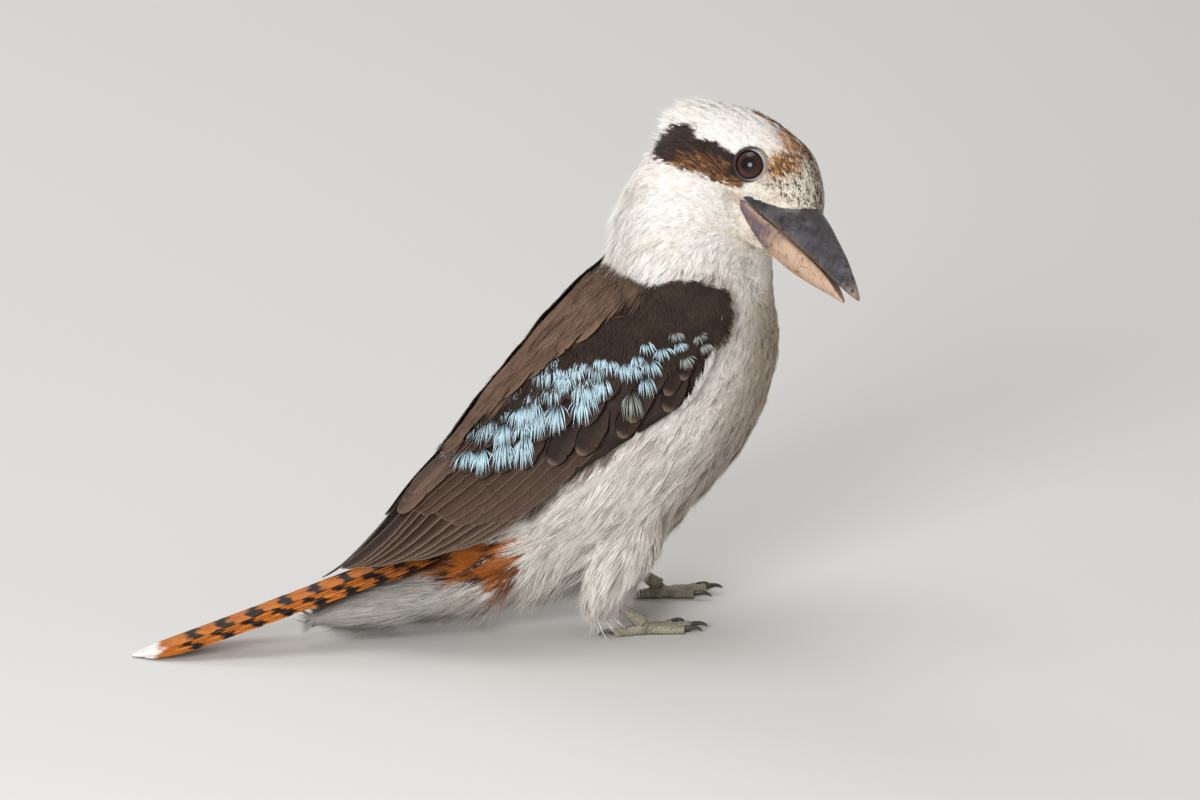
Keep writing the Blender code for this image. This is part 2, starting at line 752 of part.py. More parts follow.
def vent_locks(draw, where):
    """Loose belly feathers that hang behind and between the legs."""
    made = []
    for i in range(VENT_LOCKS):
        a = math.radians(-62 + 124 * (i + 0.5) / VENT_LOCKS)
        row = i % 2
        start = np.array((-28.0 - 8 * row, 13 * math.sin(a), 33 - 9 * math.cos(a) - 1.5 * row))
        end = np.array((-44.0 - 8 * row - draw.uniform(0, 4), 14 * math.sin(a), 8.5 + 3 * (1 - math.cos(a))))
        normal = (-0.3, math.sin(a), -0.5)
        made.append(lock(f"vent_{i}", start, end, normal, draw.uniform(6.5, 7.5), 1.7, 2.0, where))
    return made


def thigh_locks(side, ankle, draw, where):
    made = []
    for i in range(THIGH_LOCKS):
        a = 2 * math.pi * i / THIGH_LOCKS
        out = np.array((math.cos(a), math.sin(a), 0))
        top = np.array((ankle[0] + 4.5, side * (ankle[1] + 0.8), ankle[2] + 5.5))
        start = top + out * 6.2
        end = top + out * 6.0 + np.array((-6.5, 0, -13.5 + draw.uniform(-1.5, 1.5)))
        if math.cos(a) > 0.4:
            end += np.array((1.5, 0, 4.5))
        made.append(lock(f"thigh_lock_{i}", start, end, out, draw.uniform(3.2, 3.9), 0.8, 0.9, where))
    return made


def thigh(side, ankle, cutters, where):
    name = "thigh_left" if side > 0 else "thigh_right"
    rings = []
    for dx, dy, dz, radius in rows_along(THIGH, 9):
        centre = np.array((ankle[0] + dx, side * (ankle[1] + dy), ankle[2] + dz))
        rings.append(
            ellipse_ring(centre, np.array((0.85, 0, -0.5)), np.array((0, 1, 0)), radius, radius, radius * 0.82, 18)
        )
    made = loft(name, rings, where)
    combine(made, thigh_locks(side, ankle, random.Random(5 + side), where), "UNION")
    return combine(made, cutters, "DIFFERENCE")


def shank(name, ankle, foot, grow, where):
    start, end = np.array(ankle, float), np.array(foot, float)
    along = (end - start) / np.linalg.norm(end - start)
    side = np.cross(along, (0, 0, 1.0))
    side /= np.linalg.norm(side)
    up = np.cross(side, along)
    rings = []
    for i, f in enumerate(np.linspace(0, 1, 10)):
        wide = SHANK_RADIUS * (1.25 - 0.45 * math.sin(math.pi * f)) + 0.16 * (i % 2) + grow
        centre = start + (end - start) * f + along * grow * (2 * (f > 0.5) - 1)
        rings.append(ellipse_ring(centre, up, side, wide * 1.1, wide * 1.1, wide, 10))
    return loft(name, rings, where)


def toe_rings(base, turn, length, radius, side):
    """Sections of one toe with pads between the joints and a flat sole on the floor."""
    a = math.radians(turn) * side
    along = np.array((math.cos(a), math.sin(a), 0))
    across = np.array((-math.sin(a), math.cos(a), 0))
    rings = []
    for f in np.linspace(-0.12, 1, 7):
        pad = 1 - 0.22 * max(f, 0) + 0.07 * math.cos(f * 4 * math.pi)
        wide = radius * pad
        centre = np.array((base[0], base[1], wide * 0.86)) + along * length * f
        ring = ellipse_ring(centre, np.array((0, 0, 1.0)), across, wide * 1.05, wide, wide, TOE_SIDES)
        rings.append([np.array((p[0], p[1], p[2] if p[2] > 0.45 * wide else 0.0)) for p in ring])
    return rings, along


def claw(name, start, along, where):
    """A claw that leaves the toe level and curves down to a point just over the floor."""
    rings = []
    across = np.array((-along[1], along[0], 0))
    for f in np.linspace(0, 1, 6):
        centre = start + along * CLAW_LENGTH * math.sin(f * 1.25) / math.sin(1.25)
        centre = centre + np.array((0, 0, 1.0)) * (0.7 * math.sin(f * 3.0) - 1.55 * f**2)
        radius = CLAW_RADIUS * (1 - f) ** 0.7 + 0.16
        tilt = -1.1 * f
        up = np.array((0, 0, 1.0)) * math.cos(tilt) - along * math.sin(tilt)
        rings.append(ellipse_ring(centre, up, across, radius, radius, radius * 0.75, 8))
    return loft(name, rings, where)


def foot(side, base, shank_cutter, where):
    name = "foot_left" if side > 0 else "foot_right"
    pieces, tips = [], []
    for toe, turn, length, radius in TOES:
        rings, along = toe_rings(base, turn, length, radius, side)
        pieces.append(loft(f"{name}_{toe}", rings, where))
        tips.append((toe, np.mean(rings[-1], axis=0), along, radius))
    rings = []
    for z, wide in ((0.0, 2.2), (0.9, 3.3), (3.0, 3.9), (5.2, 3.7), (7.0, 2.4)):
        rings.append(
            ellipse_ring((base[0] - 0.6, base[1], z), np.array((1.0, 0, 0)), np.array((0, 1.0, 0)), wide, wide, wide, 10)
        )
    made = combine(loft(name, rings, where), pieces, "UNION")
    made.name = name
    combine(made, [shank_cutter], "DIFFERENCE")
    claws = []
    for toe, tip, along, radius in tips:
        start = tip + along * (GAP + 0.1)
        start[2] = radius * 0.95
        claws.append(claw(f"claw_{name[5:]}_{toe}", start, along, where))
    return made, claws


def paint(obj, colour, roughness=0.7):
    material = bpy.data.materials.new(obj.name)
    material.use_nodes = True
    shader = material.node_tree.nodes["Principled BSDF"]
    shader.inputs["Base Color"].default_value = (*colour, 1)
    shader.inputs["Roughness"].default_value = roughness
    obj.data.materials.clear()
    obj.data.materials.append(material)


def set_on_floor(objects):
    """Moves everything so that the origin is at the middle of the box, on the floor."""
    points = np.array([obj.matrix_world @ v.co for obj in objects for v in obj.data.vertices])
    low, high = points.min(axis=0), points.max(axis=0)
    shift = Matrix.Translation(Vector((-(low[0] + high[0]) / 2, -(low[1] + high[1]) / 2, -low[2])))
    for obj in objects:
        obj.data.transform(shift)


def build_body(bird):
    whole = combine(trunk("whole", bird), [head_shape("skull", bird)], "UNION")
    pieces = {}
    for name, planes in (
        ("head", ((NECK_TOP, True),)),
        ("neck", ((NECK_TOP, False), (NECK_BASE, True))),
        ("torso", ((NECK_BASE, False), (RUMP_FRONT, True))),
        ("rump", ((RUMP_FRONT, False),)),
    ):
        made = copy_of(whole, name, bird)
        for plane, front in planes:
            keep_side(made, plane, front, CUT / 2 if front else -CUT / 2)
        pieces[name] = made
    bpy.data.objects.remove(whole, do_unlink=True)
    return pieces


def eye_opening(side, where):
    """A short bar that clears the face in front of the eyeball."""
    axis = eye_axis(side)
    centre = Vector((EYE_AT[0], side * EYE_AT[1], EYE_AT[2]))
    turn = Vector((0, 0, 1)).rotation_difference(axis).to_matrix()
    rings = []
    for along, radius in ((-1.5, EYE_OPENING - 1.5), (0.4, EYE_OPENING), (9.0, EYE_OPENING + 4)):
        ring = []
        for a in np.linspace(0, 2 * math.pi, 20, endpoint=False):
            ring.append(tuple(centre + axis * along + turn @ Vector((math.cos(a), math.sin(a), 0)) * radius))
        rings.append(on_head(ring))
    return loft(f"opening_{side}", rings, where)


def build_head(head, bird):
    combine(head, [eye_opening(s, bird) for s in (-1, 1)], "DIFFERENCE")
    combine(head, [lids(f"lids_{s}", s, bird) for s in (-1, 1)] + crest_locks(random.Random(3), bird), "UNION")
    cutters = [eyeball(f"socket_{s}", s, EYE_RADIUS + GAP, bird) for s in (-1, 1)]
    cutters.append(upper_mandible("upper_room", bird, GAP))
    cutters.append(lower_mandible("lower_room", bird, GAP))
    combine(head, cutters, "DIFFERENCE")


def build_bill(bird):
    upper = upper_mandible("bill_upper", bird)
    combine(upper, [nostril(f"nostril_{s}", s, bird) for s in (-1, 1)], "DIFFERENCE")
    lower = lower_mandible("bill_lower", bird)
    return upper, lower


def main():
    clear_scene()
    bird = new_collection("kookaburra")
    body = build_body(bird)
    build_head(body["head"], bird)
    build_bill(bird)
    for side, name in ((-1, "eye_right"), (1, "eye_left")):
        eyeball(name, side, EYE_RADIUS, bird)

    room = trunk("room", bird, GAP)
    for side in (-1, 1):
        wing(side, room, bird)

    rump = body["rump"]
    skirt = undertail("skirt", bird)
    front = undertail("skirt_room", bird, GAP)
    keep_side(skirt, RUMP_FRONT, False, -CUT / 2)
    skirt.name = "undertail"
    combine(skirt, undertail_locks(random.Random(9), bird), "UNION")
    combine(skirt, [trunk("trunk_room", bird, GAP)], "DIFFERENCE")
    combine(rump, upper_tail_coverts(random.Random(8), bird), "UNION")
    combine(body["torso"], vent_locks(random.Random(4), bird), "UNION")
    combine(body["torso"], [front], "DIFFERENCE")
    tail_made = tail(bird)
    tail_room = copy_of(tail_made, "tail_room", bird)
    for v in tail_room.data.vertices:
        v.co += v.normal * (GAP * 1.2 * MM)
    combine(skirt, [copy_of(tail_room, "tail_room_two", bird)], "DIFFERENCE")
    combine(rump, [tail_room], "DIFFERENCE")

    for side in (-1, 1):
        step = LEFT_STEP if side > 0 else 0
        word = "left" if side > 0 else "right"
        ankle = (ANKLE[0] + step, side * ANKLE[1], ANKLE[2])
        base = (FOOT[0] + step, side * FOOT[1], FOOT[2])
        shank(f"shank_{word}", ankle, base, 0.0, bird)
        shank_room = shank("shank_room", ankle, base, GAP, bird)
        shank_room_two = shank("shank_room_two", ankle, base, GAP, bird)
        thigh(
            side,
            (ANKLE[0] + step, ANKLE[1], ANKLE[2]),
            [copy_of(room, "body_room", bird), shank_room, undertail("skirt_cutter", bird, GAP)],
            bird,
        )
        foot(side, base, shank_room_two, bird)
    bpy.data.objects.remove(room, do_unlink=True)

    made = list(bird.objects)
    for obj in made:
        key = obj.name.split("_")[0]
        if key in LIMITS:
            lighten(obj, LIMITS[key])
    set_on_floor(made)
    for obj in made:
        key = obj.name if obj.name in COLOURS else obj.name.split("_")[0]
        paint(obj, COLOURS[key], 0.25 if key in ("eye", "bill_upper", "bill_lower") else 0.75)
        obj.data.shade_smooth()
        obj.data.set_sharp_from_angle(angle=math.radians(50))


if __name__ == "__main__":
    main()
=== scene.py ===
"""Laughing kookaburra: skin, feathers, bill, eyes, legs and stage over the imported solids."""

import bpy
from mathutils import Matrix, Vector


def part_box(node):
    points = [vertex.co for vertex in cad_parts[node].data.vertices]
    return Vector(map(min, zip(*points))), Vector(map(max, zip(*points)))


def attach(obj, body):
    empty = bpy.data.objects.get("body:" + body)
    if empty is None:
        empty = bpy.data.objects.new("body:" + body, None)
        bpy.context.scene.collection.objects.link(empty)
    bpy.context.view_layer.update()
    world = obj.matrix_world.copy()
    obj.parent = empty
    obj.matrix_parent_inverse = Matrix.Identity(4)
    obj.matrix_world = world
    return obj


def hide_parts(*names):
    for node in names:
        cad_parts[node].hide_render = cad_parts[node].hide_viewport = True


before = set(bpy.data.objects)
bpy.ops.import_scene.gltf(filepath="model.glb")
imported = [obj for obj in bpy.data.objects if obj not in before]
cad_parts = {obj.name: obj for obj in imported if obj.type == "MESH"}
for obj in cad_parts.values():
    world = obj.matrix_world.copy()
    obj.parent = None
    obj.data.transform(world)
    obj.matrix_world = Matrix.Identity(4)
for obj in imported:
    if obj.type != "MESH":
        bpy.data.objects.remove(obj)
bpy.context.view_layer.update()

import math

import bmesh
import bpy
import numpy as np
from bpy.props import FloatProperty, FloatVectorProperty, IntProperty, PointerProperty
from mathutils import Euler, Matrix, Vector
from mathutils.bvhtree import BVHTree
from mathutils.kdtree import KDTree

bl_info = {
    "name": "Kookaburra plumage",
    "version": (1, 0, 0),
    "blender": (4, 5, 0),
    "location": "View3D > Sidebar > Kookaburra",
    "description": "Dresses the kookaburra's solids with skin, feathers, bill, eyes, legs and a stage",
    "category": "Object",
}

# All tables below are in millimetres, in the bird's own frame: x ahead, y to its left, z up, with
# the origin on the floor between the feet
MM = 0.001

# Trunk from tail root to skull: centre x, y, z, tilt in degrees, dorsal, ventral and side radius
TRUNK = (
    (-104, 0, 39, 18, 3, 5, 5),
    (-98, 0, 40, 22, 8, 16, 14),
    (-84, 0, 46, 30, 17, 34, 24),
    (-66, 0, 57, 38, 28, 48, 33),
    (-46, 0, 71, 43, 38, 53.5, 41),
    (-22, 0, 93, 46, 46, 52.5, 45.5),
    (0, 0, 115, 52, 47, 49, 46.5),
    (12, 0, 137, 62, 42.5, 43, 42),
    (14, 0, 158, 71, 37.5, 37, 36.5),
    (16, 0, 178, 76, 35, 34, 33),
    (24, 1, 196, 72, 33, 31, 30),
    (33, 3, 209, 66, 26, 24, 25),
    (38, 4, 218, 62, 8, 8, 8),
)
# Undertail coverts: x, z, half height and half width
UNDERTAIL = (
    (-74, 27, 13, 22),
    (-92, 23.5, 12.8, 21),
    (-112, 19.5, 11.2, 18),
    (-132, 15.6, 8.8, 14),
    (-145, 13.2, 5.6, 9),
    (-154, 12.2, 2.2, 4),
)
# Where the point between the eyes is, and the turn of the head's own frame, x along the bill, y left
HEAD_AT = np.array((45.0, -18.0, 202.2))
HEAD_YAW, HEAD_PITCH, HEAD_ROLL = -66.0, 20.3, -30.2
# Head from nape to forehead: x, top, bottom and half width
HEAD = (
    (-59, -5, -10, 3),
    (-54, 2.6, -19, 13),
    (-46, 8.0, -25, 19.5),
    (-36, 13.0, -29, 22.5),
    (-24, 17.3, -31, 24.5),
    (-11, 19.2, -31, 23.6),
    (-4, 19.6, -28, 22.6),
    (2, 19.6, -23.5, 21.8),
    (8, 18.4, -19.5, 19.6),
    (15, 15.3, -16.5, 16.6),
    (21, 11.8, -14.5, 13.8),
    (27, 7.3, -12.0, 10.4),
    (32, 1.4, -9.0, 5),
)
# Eye: middle of its opening in the head's frame, radius, how deep its centre lies under the
# opening, and how far ahead it looks, in degrees
EYE_AT = (2.1, 21.4, 0.4)
EYE_RADIUS = 7.6
EYE_DEPTH = 5.0
EYE_LOOK = 20.0
# Radius of the hole in the coat that the lids fill, and how deep under the opening it reaches
EYE_HOLE = 7.1
EYE_HOLE_DEPTH = 9.0
# Upper mandible: x, culmen, tomium and half width
BILL_UPPER = (
    (-4, -7, -13.2, 16.4),
    (8, -3.6, -13.5, 15.2),
    (18, -0.4, -13.7, 13.4),
    (28, 2.2, -13.9, 12.2),
    (38, 0.9, -14.2, 10.0),
    (48, -2.0, -14.6, 7.4),
    (58, -5.2, -15.2, 5.2),
    (67, -9.0, -15.9, 3.2),
    (73.5, -12.2, -16.0, 1.8),
    (77.4, -14.6, -15.8, 0.6),
)
# Lower mandible: x, tomium, keel and half width
BILL_LOWER = (
    (-2, -14.0, -21, 15.8),
    (8, -14.3, -24.5, 14.4),
    (18, -14.6, -26.0, 12.5),
    (28, -14.4, -26.4, 10.5),
    (38, -14.7, -26.2, 8.5),
    (48, -15.2, -25.0, 6.4),
    (58, -16.4, -23.4, 4.3),
    (66, -18.5, -21.9, 2.6),
    (71.4, -20.2, -21.2, 0.7),
)
# Middle of a nostril, in the head's frame
NOSTRIL_AT = (33.5, 6.4, -4.2)

# Folded wing hull: x, z, tilt in degrees, dorsal and side radius. The first row lies ahead of the
# shoulder, at station -1, and the last one is the wing's tip, at station 8
WING_HULL = (
    (14, 161, 71, 38.5, 38),
    (13, 143, 64, 42.5, 42),
    (0, 118, 54, 49.5, 49.5),
    (-22, 93, 46, 50, 49.5),
    (-46, 71, 43, 46.5, 47),
    (-70, 55, 40, 38, 43),
    (-93, 44, 36, 30.5, 37),
    (-116, 36, 31, 19.5, 27),
    (-138, 31, 26, 9, 17),
    (-152, 30, 22, 4.5, 10),
)
# How near the spine each wing's upper feathers may lie, in degrees
NEAREST_RIGHT, NEAREST_LEFT = 5.0, 38.0
# How much lower the left wing's tip lies, how many stations farther back it reaches, and the
# first station that a wing has
LEFT_DROP, LEFT_REACH = 5.5, 0.4
FIRST_STATION = -0.95
# Upper and lower edge of the wing along the hull, in degrees from the spine
WING_EDGES = ((52, 92), (32, 92), (16, 82), (8, 74), (5, 70), (5, 68), (8, 66), (22, 66), (48, 68))

# Long wing feathers: name, count, half width, heights of root, middle and tip over the hull, roll in
# degrees, share of the length where the tip starts to narrow, and the rows of roots and tips as hull
# station and angle from the spine down
FLIGHT = (
    ("primary", 10, 4.9, (-1.2, 0.3, 0.0), 9, 0.72,
     ((3.6, 2), (3.4, 22), (3.1, 43), (2.7, 57), (2.3, 66)),
     ((7.45, 29), (7.1, 41), (6.62, 53), (6.1, 63), (5.35, 70))),
    ("secondary", 10, 6.6, (-1.0, 0.7, 0.4), 6.5, 0.86,
     ((3.3, 10), (3.0, 24), (2.6, 42), (2.1, 56), (1.6, 68)),
     ((5.75, 9), (5.4, 22), (5.1, 40), (4.75, 56), (3.9, 67))),
    ("tertial", 3, 8.0, (-0.4, 2.1, 1.6), 5, 0.84,
     ((3.2, 14), (2.9, 4)),
     ((5.8, 13), (5.2, 3))),
)
# How dark each kind of long feather is
DARKNESS = {"primary": 0.5, "secondary": 0.85, "tertial": 1.5}
# Samples along each kind of vane
FLIGHT_SAMPLES, COVERT_SAMPLES, SCAPULAR_SAMPLES, TAIL_SAMPLES = 46, 22, 30, 150
# Half width of a shoulder-blade feather, the first station of one that has a vane, and the tufts of
# loose barbs along each one
SCAPULAR_HALF, SCAPULAR_FIRST, SCAPULAR_TUFTS = 6.8, 1.2, 13
# Barbs in each small feather of the wings and over the tail's root
AZURE_BARBS, LESSER_BARBS, SCAPULAR_BARBS, TAIL_COVERT_BARBS = 18, 9, 13, 10
# Half width of the widest covert, and the station behind which the azure tips lie in two layers
WIDEST_COVERT, DOUBLE_AZURE = 5.6, 1.9
# Single coverts, where each one's tip lies: hull station, angle, half width and kind of tip
COVERTS = (
    (4.27, 9, 5.2, "azure"), (4.17, 28, 5.6, "azure"), (4.02, 39, 5.6, "azure"), (3.73, 46, 5.4, "azure"),
    (3.43, 53, 5.2, "azure"), (3.02, 63, 5.8, "buff"), (2.63, 69, 5.8, "buff"), (2.08, 77, 5.6, "buff"),
    (1.45, 84, 5.2, "buff"),
    (3.72, 14, 5.2, "azure"), (3.58, 27, 5.2, "azure"), (3.43, 38, 5.2, "azure"), (3.18, 44, 5.0, "azure"),
    (2.93, 49, 5.0, "azure"), (2.33, 60, 5.0, "azure"), (1.84, 76, 5.2, "olive"), (1.3, 80, 4.6, "buff"),
    (3.3, 17, 4.8, "azure"), (3.18, 26, 4.8, "azure"), (3.03, 37, 4.8, "azure"), (2.83, 43, 4.8, "azure"),
    (2.68, 53, 4.8, "azure"), (2.83, 24, 4.6, "azure"), (2.68, 36, 4.6, "azure"), (2.48, 43, 4.6, "azure"),
    (2.23, 45, 4.6, "azure"), (2.38, 31, 4.4, "azure"), (2.23, 36, 4.4, "azure"), (2.18, 42, 4.2, "azure"),
    (2.18, 54, 4.4, "azure"), (2.05, 58, 4.2, "azure"), (1.86, 59, 4.2, "azure"), (1.79, 52, 4.2, "azure"),
    (1.94, 44, 3.8, "azure"), (1.59, 49, 3.2, "azure"), (1.54, 55, 3.8, "azure"), (1.5, 60, 4.0, "azure"),
    (1.36, 65, 4.0, "azure"), (1.22, 62, 3.4, "azure"), (1.17, 70, 4.4, "azure"), (1.45, 74, 4.2, "azure"),
    (0.89, 63, 4.0, "azure"), (0.87, 71, 4.2, "azure"), (0.64, 76, 3.8, "azure"), (0.49, 72, 3.6, "olive"),
    (0.74, 82, 3.8, "olive"), (0.34, 84, 3.6, "olive"), (0.44, 88, 3.4, "olive"), (0.99, 83, 4.2, "buff"),
)
# Shoulder-blade feathers that lie on the wing's upper edge: hull station and angle of each tip
SCAPULARS = (
    (4.25, 6), (3.75, 7), (3.3, 11), (2.85, 15), (2.4, 19), (1.95, 23), (1.5, 27), (1.05, 33), (0.6, 40),
    (3.9, 0), (3.4, 2), (2.9, 5), (2.4, 9), (1.9, 14), (1.4, 19), (0.95, 25),
    (3.4, -7), (2.8, -5), (2.2, -1), (1.6, 5), (1.1, 12),
)
# How far over the skin the folded wing may lie, and how far locks of small feathers sway to one side
WING_REACH = 13.0
LOCK_SWAY = 2.6
# Small feathers of one lock, how strongly they draw together, the share of a feather's length that may
# lie on the wing, and the lowest place of a tip
LOCK_SIZE = 15
LOCK_PULL = 0.6
WING_OVERLAP = 0.5
LOWEST_TIP = 3.0
# How high the ragged tufts of the nape stand
NAPE_TUFTS = 2.6
# Where the small dark coverts lie: hull station, upper and lower angle
LESSER_BAND = (
    (-0.85, 76, 94),
    (-0.5, 58, 95),
    (0.0, 44, 93),
    (0.5, 36, 79),
    (1.0, 32, 68),
    (1.5, 27, 56),
    (1.9, 24, 43),
    (2.4, 18, 30),
    (3.1, 9, 18),
)

# Tail: ends and sag of its line, number and half width of its feathers, their distance at root and
# tip, how much lower and shorter each next one lies, the black bars, and the white tip
TAIL_ROOT, TAIL_TIP = np.array((-92.0, 0, 41.5)), np.array((-240.0, 0, -1.4))
TAIL_SAG = 0.8
RECTRICES = 12
RECTRIX_HALF = 5.6
RECTRIX_SPREAD = (1.9, 1.2)
RECTRIX_STEP = 0.72
RECTRIX_SHORTER = 1.6
BAR_FIRST, BAR_STEP, BAR_LENGTH = 28.5, 14.4, 5.4
WHITE_TIP = 15.0
# Small feathers over the tail's root
TAIL_COVERTS = 460

# Legs: right ankle, how far ahead the left foot stands, and the thigh as steps from the ankle and
# a radius
ANKLE = (-37, 27.5, 22)
LEFT_STEP = 21
THIGH = ((24, -9, 44, 9), (19, -3, 31, 15), (10, 1.5, 15, 12.5), (3, 0.8, 3, 9), (0.5, 0, -4.5, 6))

# Rings and sides that each part of the skin is made from
TRUNK_RINGS, HEAD_RINGS, CHIN_RINGS = (46, 44), (34, 40), (26, 36)
UNDERTAIL_RINGS, THIGH_RINGS = (16, 30), (14, 24)
# Grid that each surface is evened out on, and how many times it is softened
SKIN_GRID, LEG_GRID, CLAW_GRID = (1.5, 9), (0.42, 3), (0.22, 2)
# How much painted shade darkens the skin under the feathers over it
SKIN_SHADE = 0.74
# Distance between the leg scales' cross ridges, and their height
RIDGE_STEP, RIDGE_HEIGHT = 1.9, 0.12

# How the small feathers lie. Head rows are in the head's frame and body rows in the bird's: a point,
# the lie, and each feather's length, width and the rise of its tip. Every row stands for both sides.
HEAD_LIE = (
    ((31, 0, 0), (-0.5, 0, 1), 2.6, 1.2, 0.45),
    ((27, 8, 0), (-0.8, 0.1, 0.7), 2.6, 1.2, 0.4),
    ((20, 0, 12), (-0.9, 0, 0.6), 3.6, 1.4, 0.4),
    ((14, 12, 10), (-1, 0.1, 0.4), 3.6, 1.4, 0.4),
    ((5, 0, 18), (-1, 0, 0.05), 6, 1.9, 0.5),
    ((5, 14, 16), (-1, 0.1, 0.1), 5, 1.8, 0.4),
    ((-15, 0, 18), (-1, 0, -0.1), 8, 2.3, 0.4),
    ((-15, 14, 14), (-1, 0.05, -0.1), 9, 2.3, 0.6),
    ((-34, 0, 14), (-1, 0, -0.25), 8, 2.2, 0.1),
    ((-45, 0, 7), (-1, 0, -0.45), 11, 2.0, 0.5),
    ((-42, 14, 4), (-1, 0.1, -0.3), 11, 2.2, 1.8),
    ((0, 21, 9), (-1, 0, 0.05), 4.6, 1.6, 0.3),
    ((12, 16, -3), (-1, 0.2, 0.15), 3, 1.2, 0.4),
    ((-9, 22, -5), (-1, 0, -0.2), 6, 1.7, 0.4),
    ((-28, 22, -10), (-1, 0, -0.3), 10, 2.2, 0.9),
    ((2, 17, -17), (-0.9, 0.1, -0.4), 4.6, 1.5, 0.5),
    ((12, 8, -26), (-0.95, 0.1, -0.15), 4.0, 1.4, 0.4),
    ((-14, 20, -22), (-0.9, 0, -0.45), 9.5, 2.2, 0.7),
    ((-34, 14, -26), (-0.8, 0, -0.6), 12, 2.8, 1.2),
    ((-50, 0, -5), (-0.85, 0, -0.6), 12, 2.0, 3.0),
    ((6, 0, -28), (-0.9, 0, -0.4), 7, 1.8, 0.6),
)
BODY_LIE = (
    ((48, 0, 165), (-0.1, 0, -1), 10, 2.8, 0.9),
    ((15, 36, 170), (-0.3, 0, -0.95), 13, 3.0, 1.2),
    ((-15, 0, 188), (-0.2, 0, -1), 14, 3.2, 3.4),
    ((-24, 0, 160), (-0.45, 0, -0.9), 14, 3.2, 2.4),
    ((8, 37, 160), (-0.4, 0, -0.9), 9, 2.6, 1.0),
    ((0, 34, 150), (-0.45, 0, -0.9), 15, 3.2, 1.6),
    ((52, 0, 130), (-0.15, 0, -1), 14, 3.4, 1.2),
    ((20, 42, 120), (-0.5, 0, -0.85), 12, 3.2, 1.2),
    ((45, 0, 85), (-0.5, 0, -0.85), 17, 3.8, 1.6),
    ((15, 0, 55), (-0.8, 0, -0.6), 19, 4.0, 2.6),
    ((-10, 42, 75), (-0.65, 0, -0.75), 18, 3.8, 1.8),
    ((-40, 38, 50), (-0.75, 0, -0.65), 19, 4.0, 2.4),
    ((-30, 0, 22), (-0.55, 0, -0.85), 25, 4.6, 9.0),
    ((-60, 0, 16), (-0.75, 0, -0.7), 25, 4.6, 8.5),
    ((-50, 26, 28), (-0.6, 0, -0.85), 21, 4.2, 5.5),
    ((-34, 0, 140), (-0.6, 0, -0.8), 16, 3.6, 1.4),
    ((-70, 0, 95), (-0.75, 0, -0.65), 17, 3.8, 1.4),
    ((-88, 0, 62), (-0.9, 0, -0.45), 16, 3.8, 1.2),
    ((-90, 26, 45), (-0.95, 0, -0.3), 15, 3.8, 1.2),
    ((-118, 0, 9), (-1, 0, -0.12), 23, 3.8, 4.4),
    ((-150, 0, 9), (-1, 0, -0.06), 18, 3.4, 3.4),
    ((-18, 30, 50), (-0.4, 0, -0.93), 16, 3.4, 2.6),
    ((-34, 29, 22), (-0.35, 0, -0.93), 17, 2.6, 5.0),
    ((3, 30, 50), (-0.4, 0, -0.93), 16, 3.4, 2.6),
    ((-13, 29, 22), (-0.35, 0, -0.93), 17, 2.6, 5.0),
)
# Middle and reach of the brownish streaks where the neck meets the wing
COLLAR_AT, COLLAR_REACH = np.array((13.0, 34.0, 146.0)), np.array((10.0, 10.0, 18.0))
# Upper and lower edge of the dark eye stripe: x and z in the head's frame
STRIPE_TOP = ((-52, -44, -37, -34, -29, -19, -9, 0, 9), (-12, -8, -3.8, -4.4, -6.2, -2.0, -0.6, 3.4, -1))
STRIPE_FOOT = ((-52, -43, -31, -19, -13, 1, 6), (-19, -24.8, -23.6, -19.6, -17.2, -11.8, -8))
# Front edge of the dark mantle: angle from the spine and station along the trunk
MANTLE_EDGE = ((0, 30, 48, 60, 95), (6.68, 6.98, 7.42, 7.75, 7.9))
# Lower edge of the rufous flank: x and z
FLANK_EDGE = ((-140, -98, -90, -82, -74, -68), (26, 26, 24, 19, 20, 34))
# Feathered chin under the lower mandible, in the head's frame: x, top, bottom and half width
CHIN = (
    (-26, -10, -31, 21.5),
    (-14, -10, -30.5, 20.5),
    (-4, -12, -29.6, 18.4),
    (2, -13.6, -28.2, 16.9),
    (6, -15.2, -27.6, 15.4),
    (10, -18.2, -27.5, 13.2),
    (14, -21.2, -27.6, 11),
    (19, -23.8, -27.8, 7.6),
    (24, -25.8, -27.6, 3.2),
)


def between(rows, s):
    """Rows at s stations along, on a smooth curve through the named rows."""
    rows, s = np.asarray(rows, float), np.asarray(s, float)
    i = np.clip(np.floor(s), 0, len(rows) - 2).astype(int)
    t = (s - i)[..., None]
    a, b, c = rows[np.maximum(i - 1, 0)], rows[i], rows[i + 1]
    d = rows[np.minimum(i + 2, len(rows) - 1)]
    return 0.5 * (2 * b + (c - a) * t + (2 * a - 5 * b + 4 * c - d) * t**2 + (3 * b - a - 3 * c + d) * t**3)


def rows_along(rows, count):
    return between(rows, np.linspace(0, len(rows) - 1, count))


def unit(v):
    return v / np.maximum(np.linalg.norm(v, axis=-1, keepdims=True), 1e-9)


def smooth_step(low, high, x):
    t = np.clip((np.asarray(x, float) - low) / (high - low), 0, 1)
    return t * t * (3 - 2 * t)


def mix(a, b, share):
    share = np.asarray(share, float)
    if share.ndim:
        share = share[..., None]
    return np.asarray(a, float) * (1 - share) + np.asarray(b, float) * share


def waves(points, scale, seed):
    """A smooth field from -1 to 1 that varies over about scale millimetres."""
    draw = np.random.default_rng(seed)
    total = np.zeros(points.shape[:-1])
    for _ in range(6):
        direction = unit(draw.normal(size=3)) * draw.uniform(0.7, 1.5) * 2 * math.pi / scale
        total = total + np.sin(points @ direction + draw.uniform(0, 2 * math.pi))
    return np.clip(total / 3.2, -1, 1)


def streaks(local, scale, seed):
    """Like waves, but drawn out along the head."""
    return waves(local * (0.2, 1, 1), scale, seed)


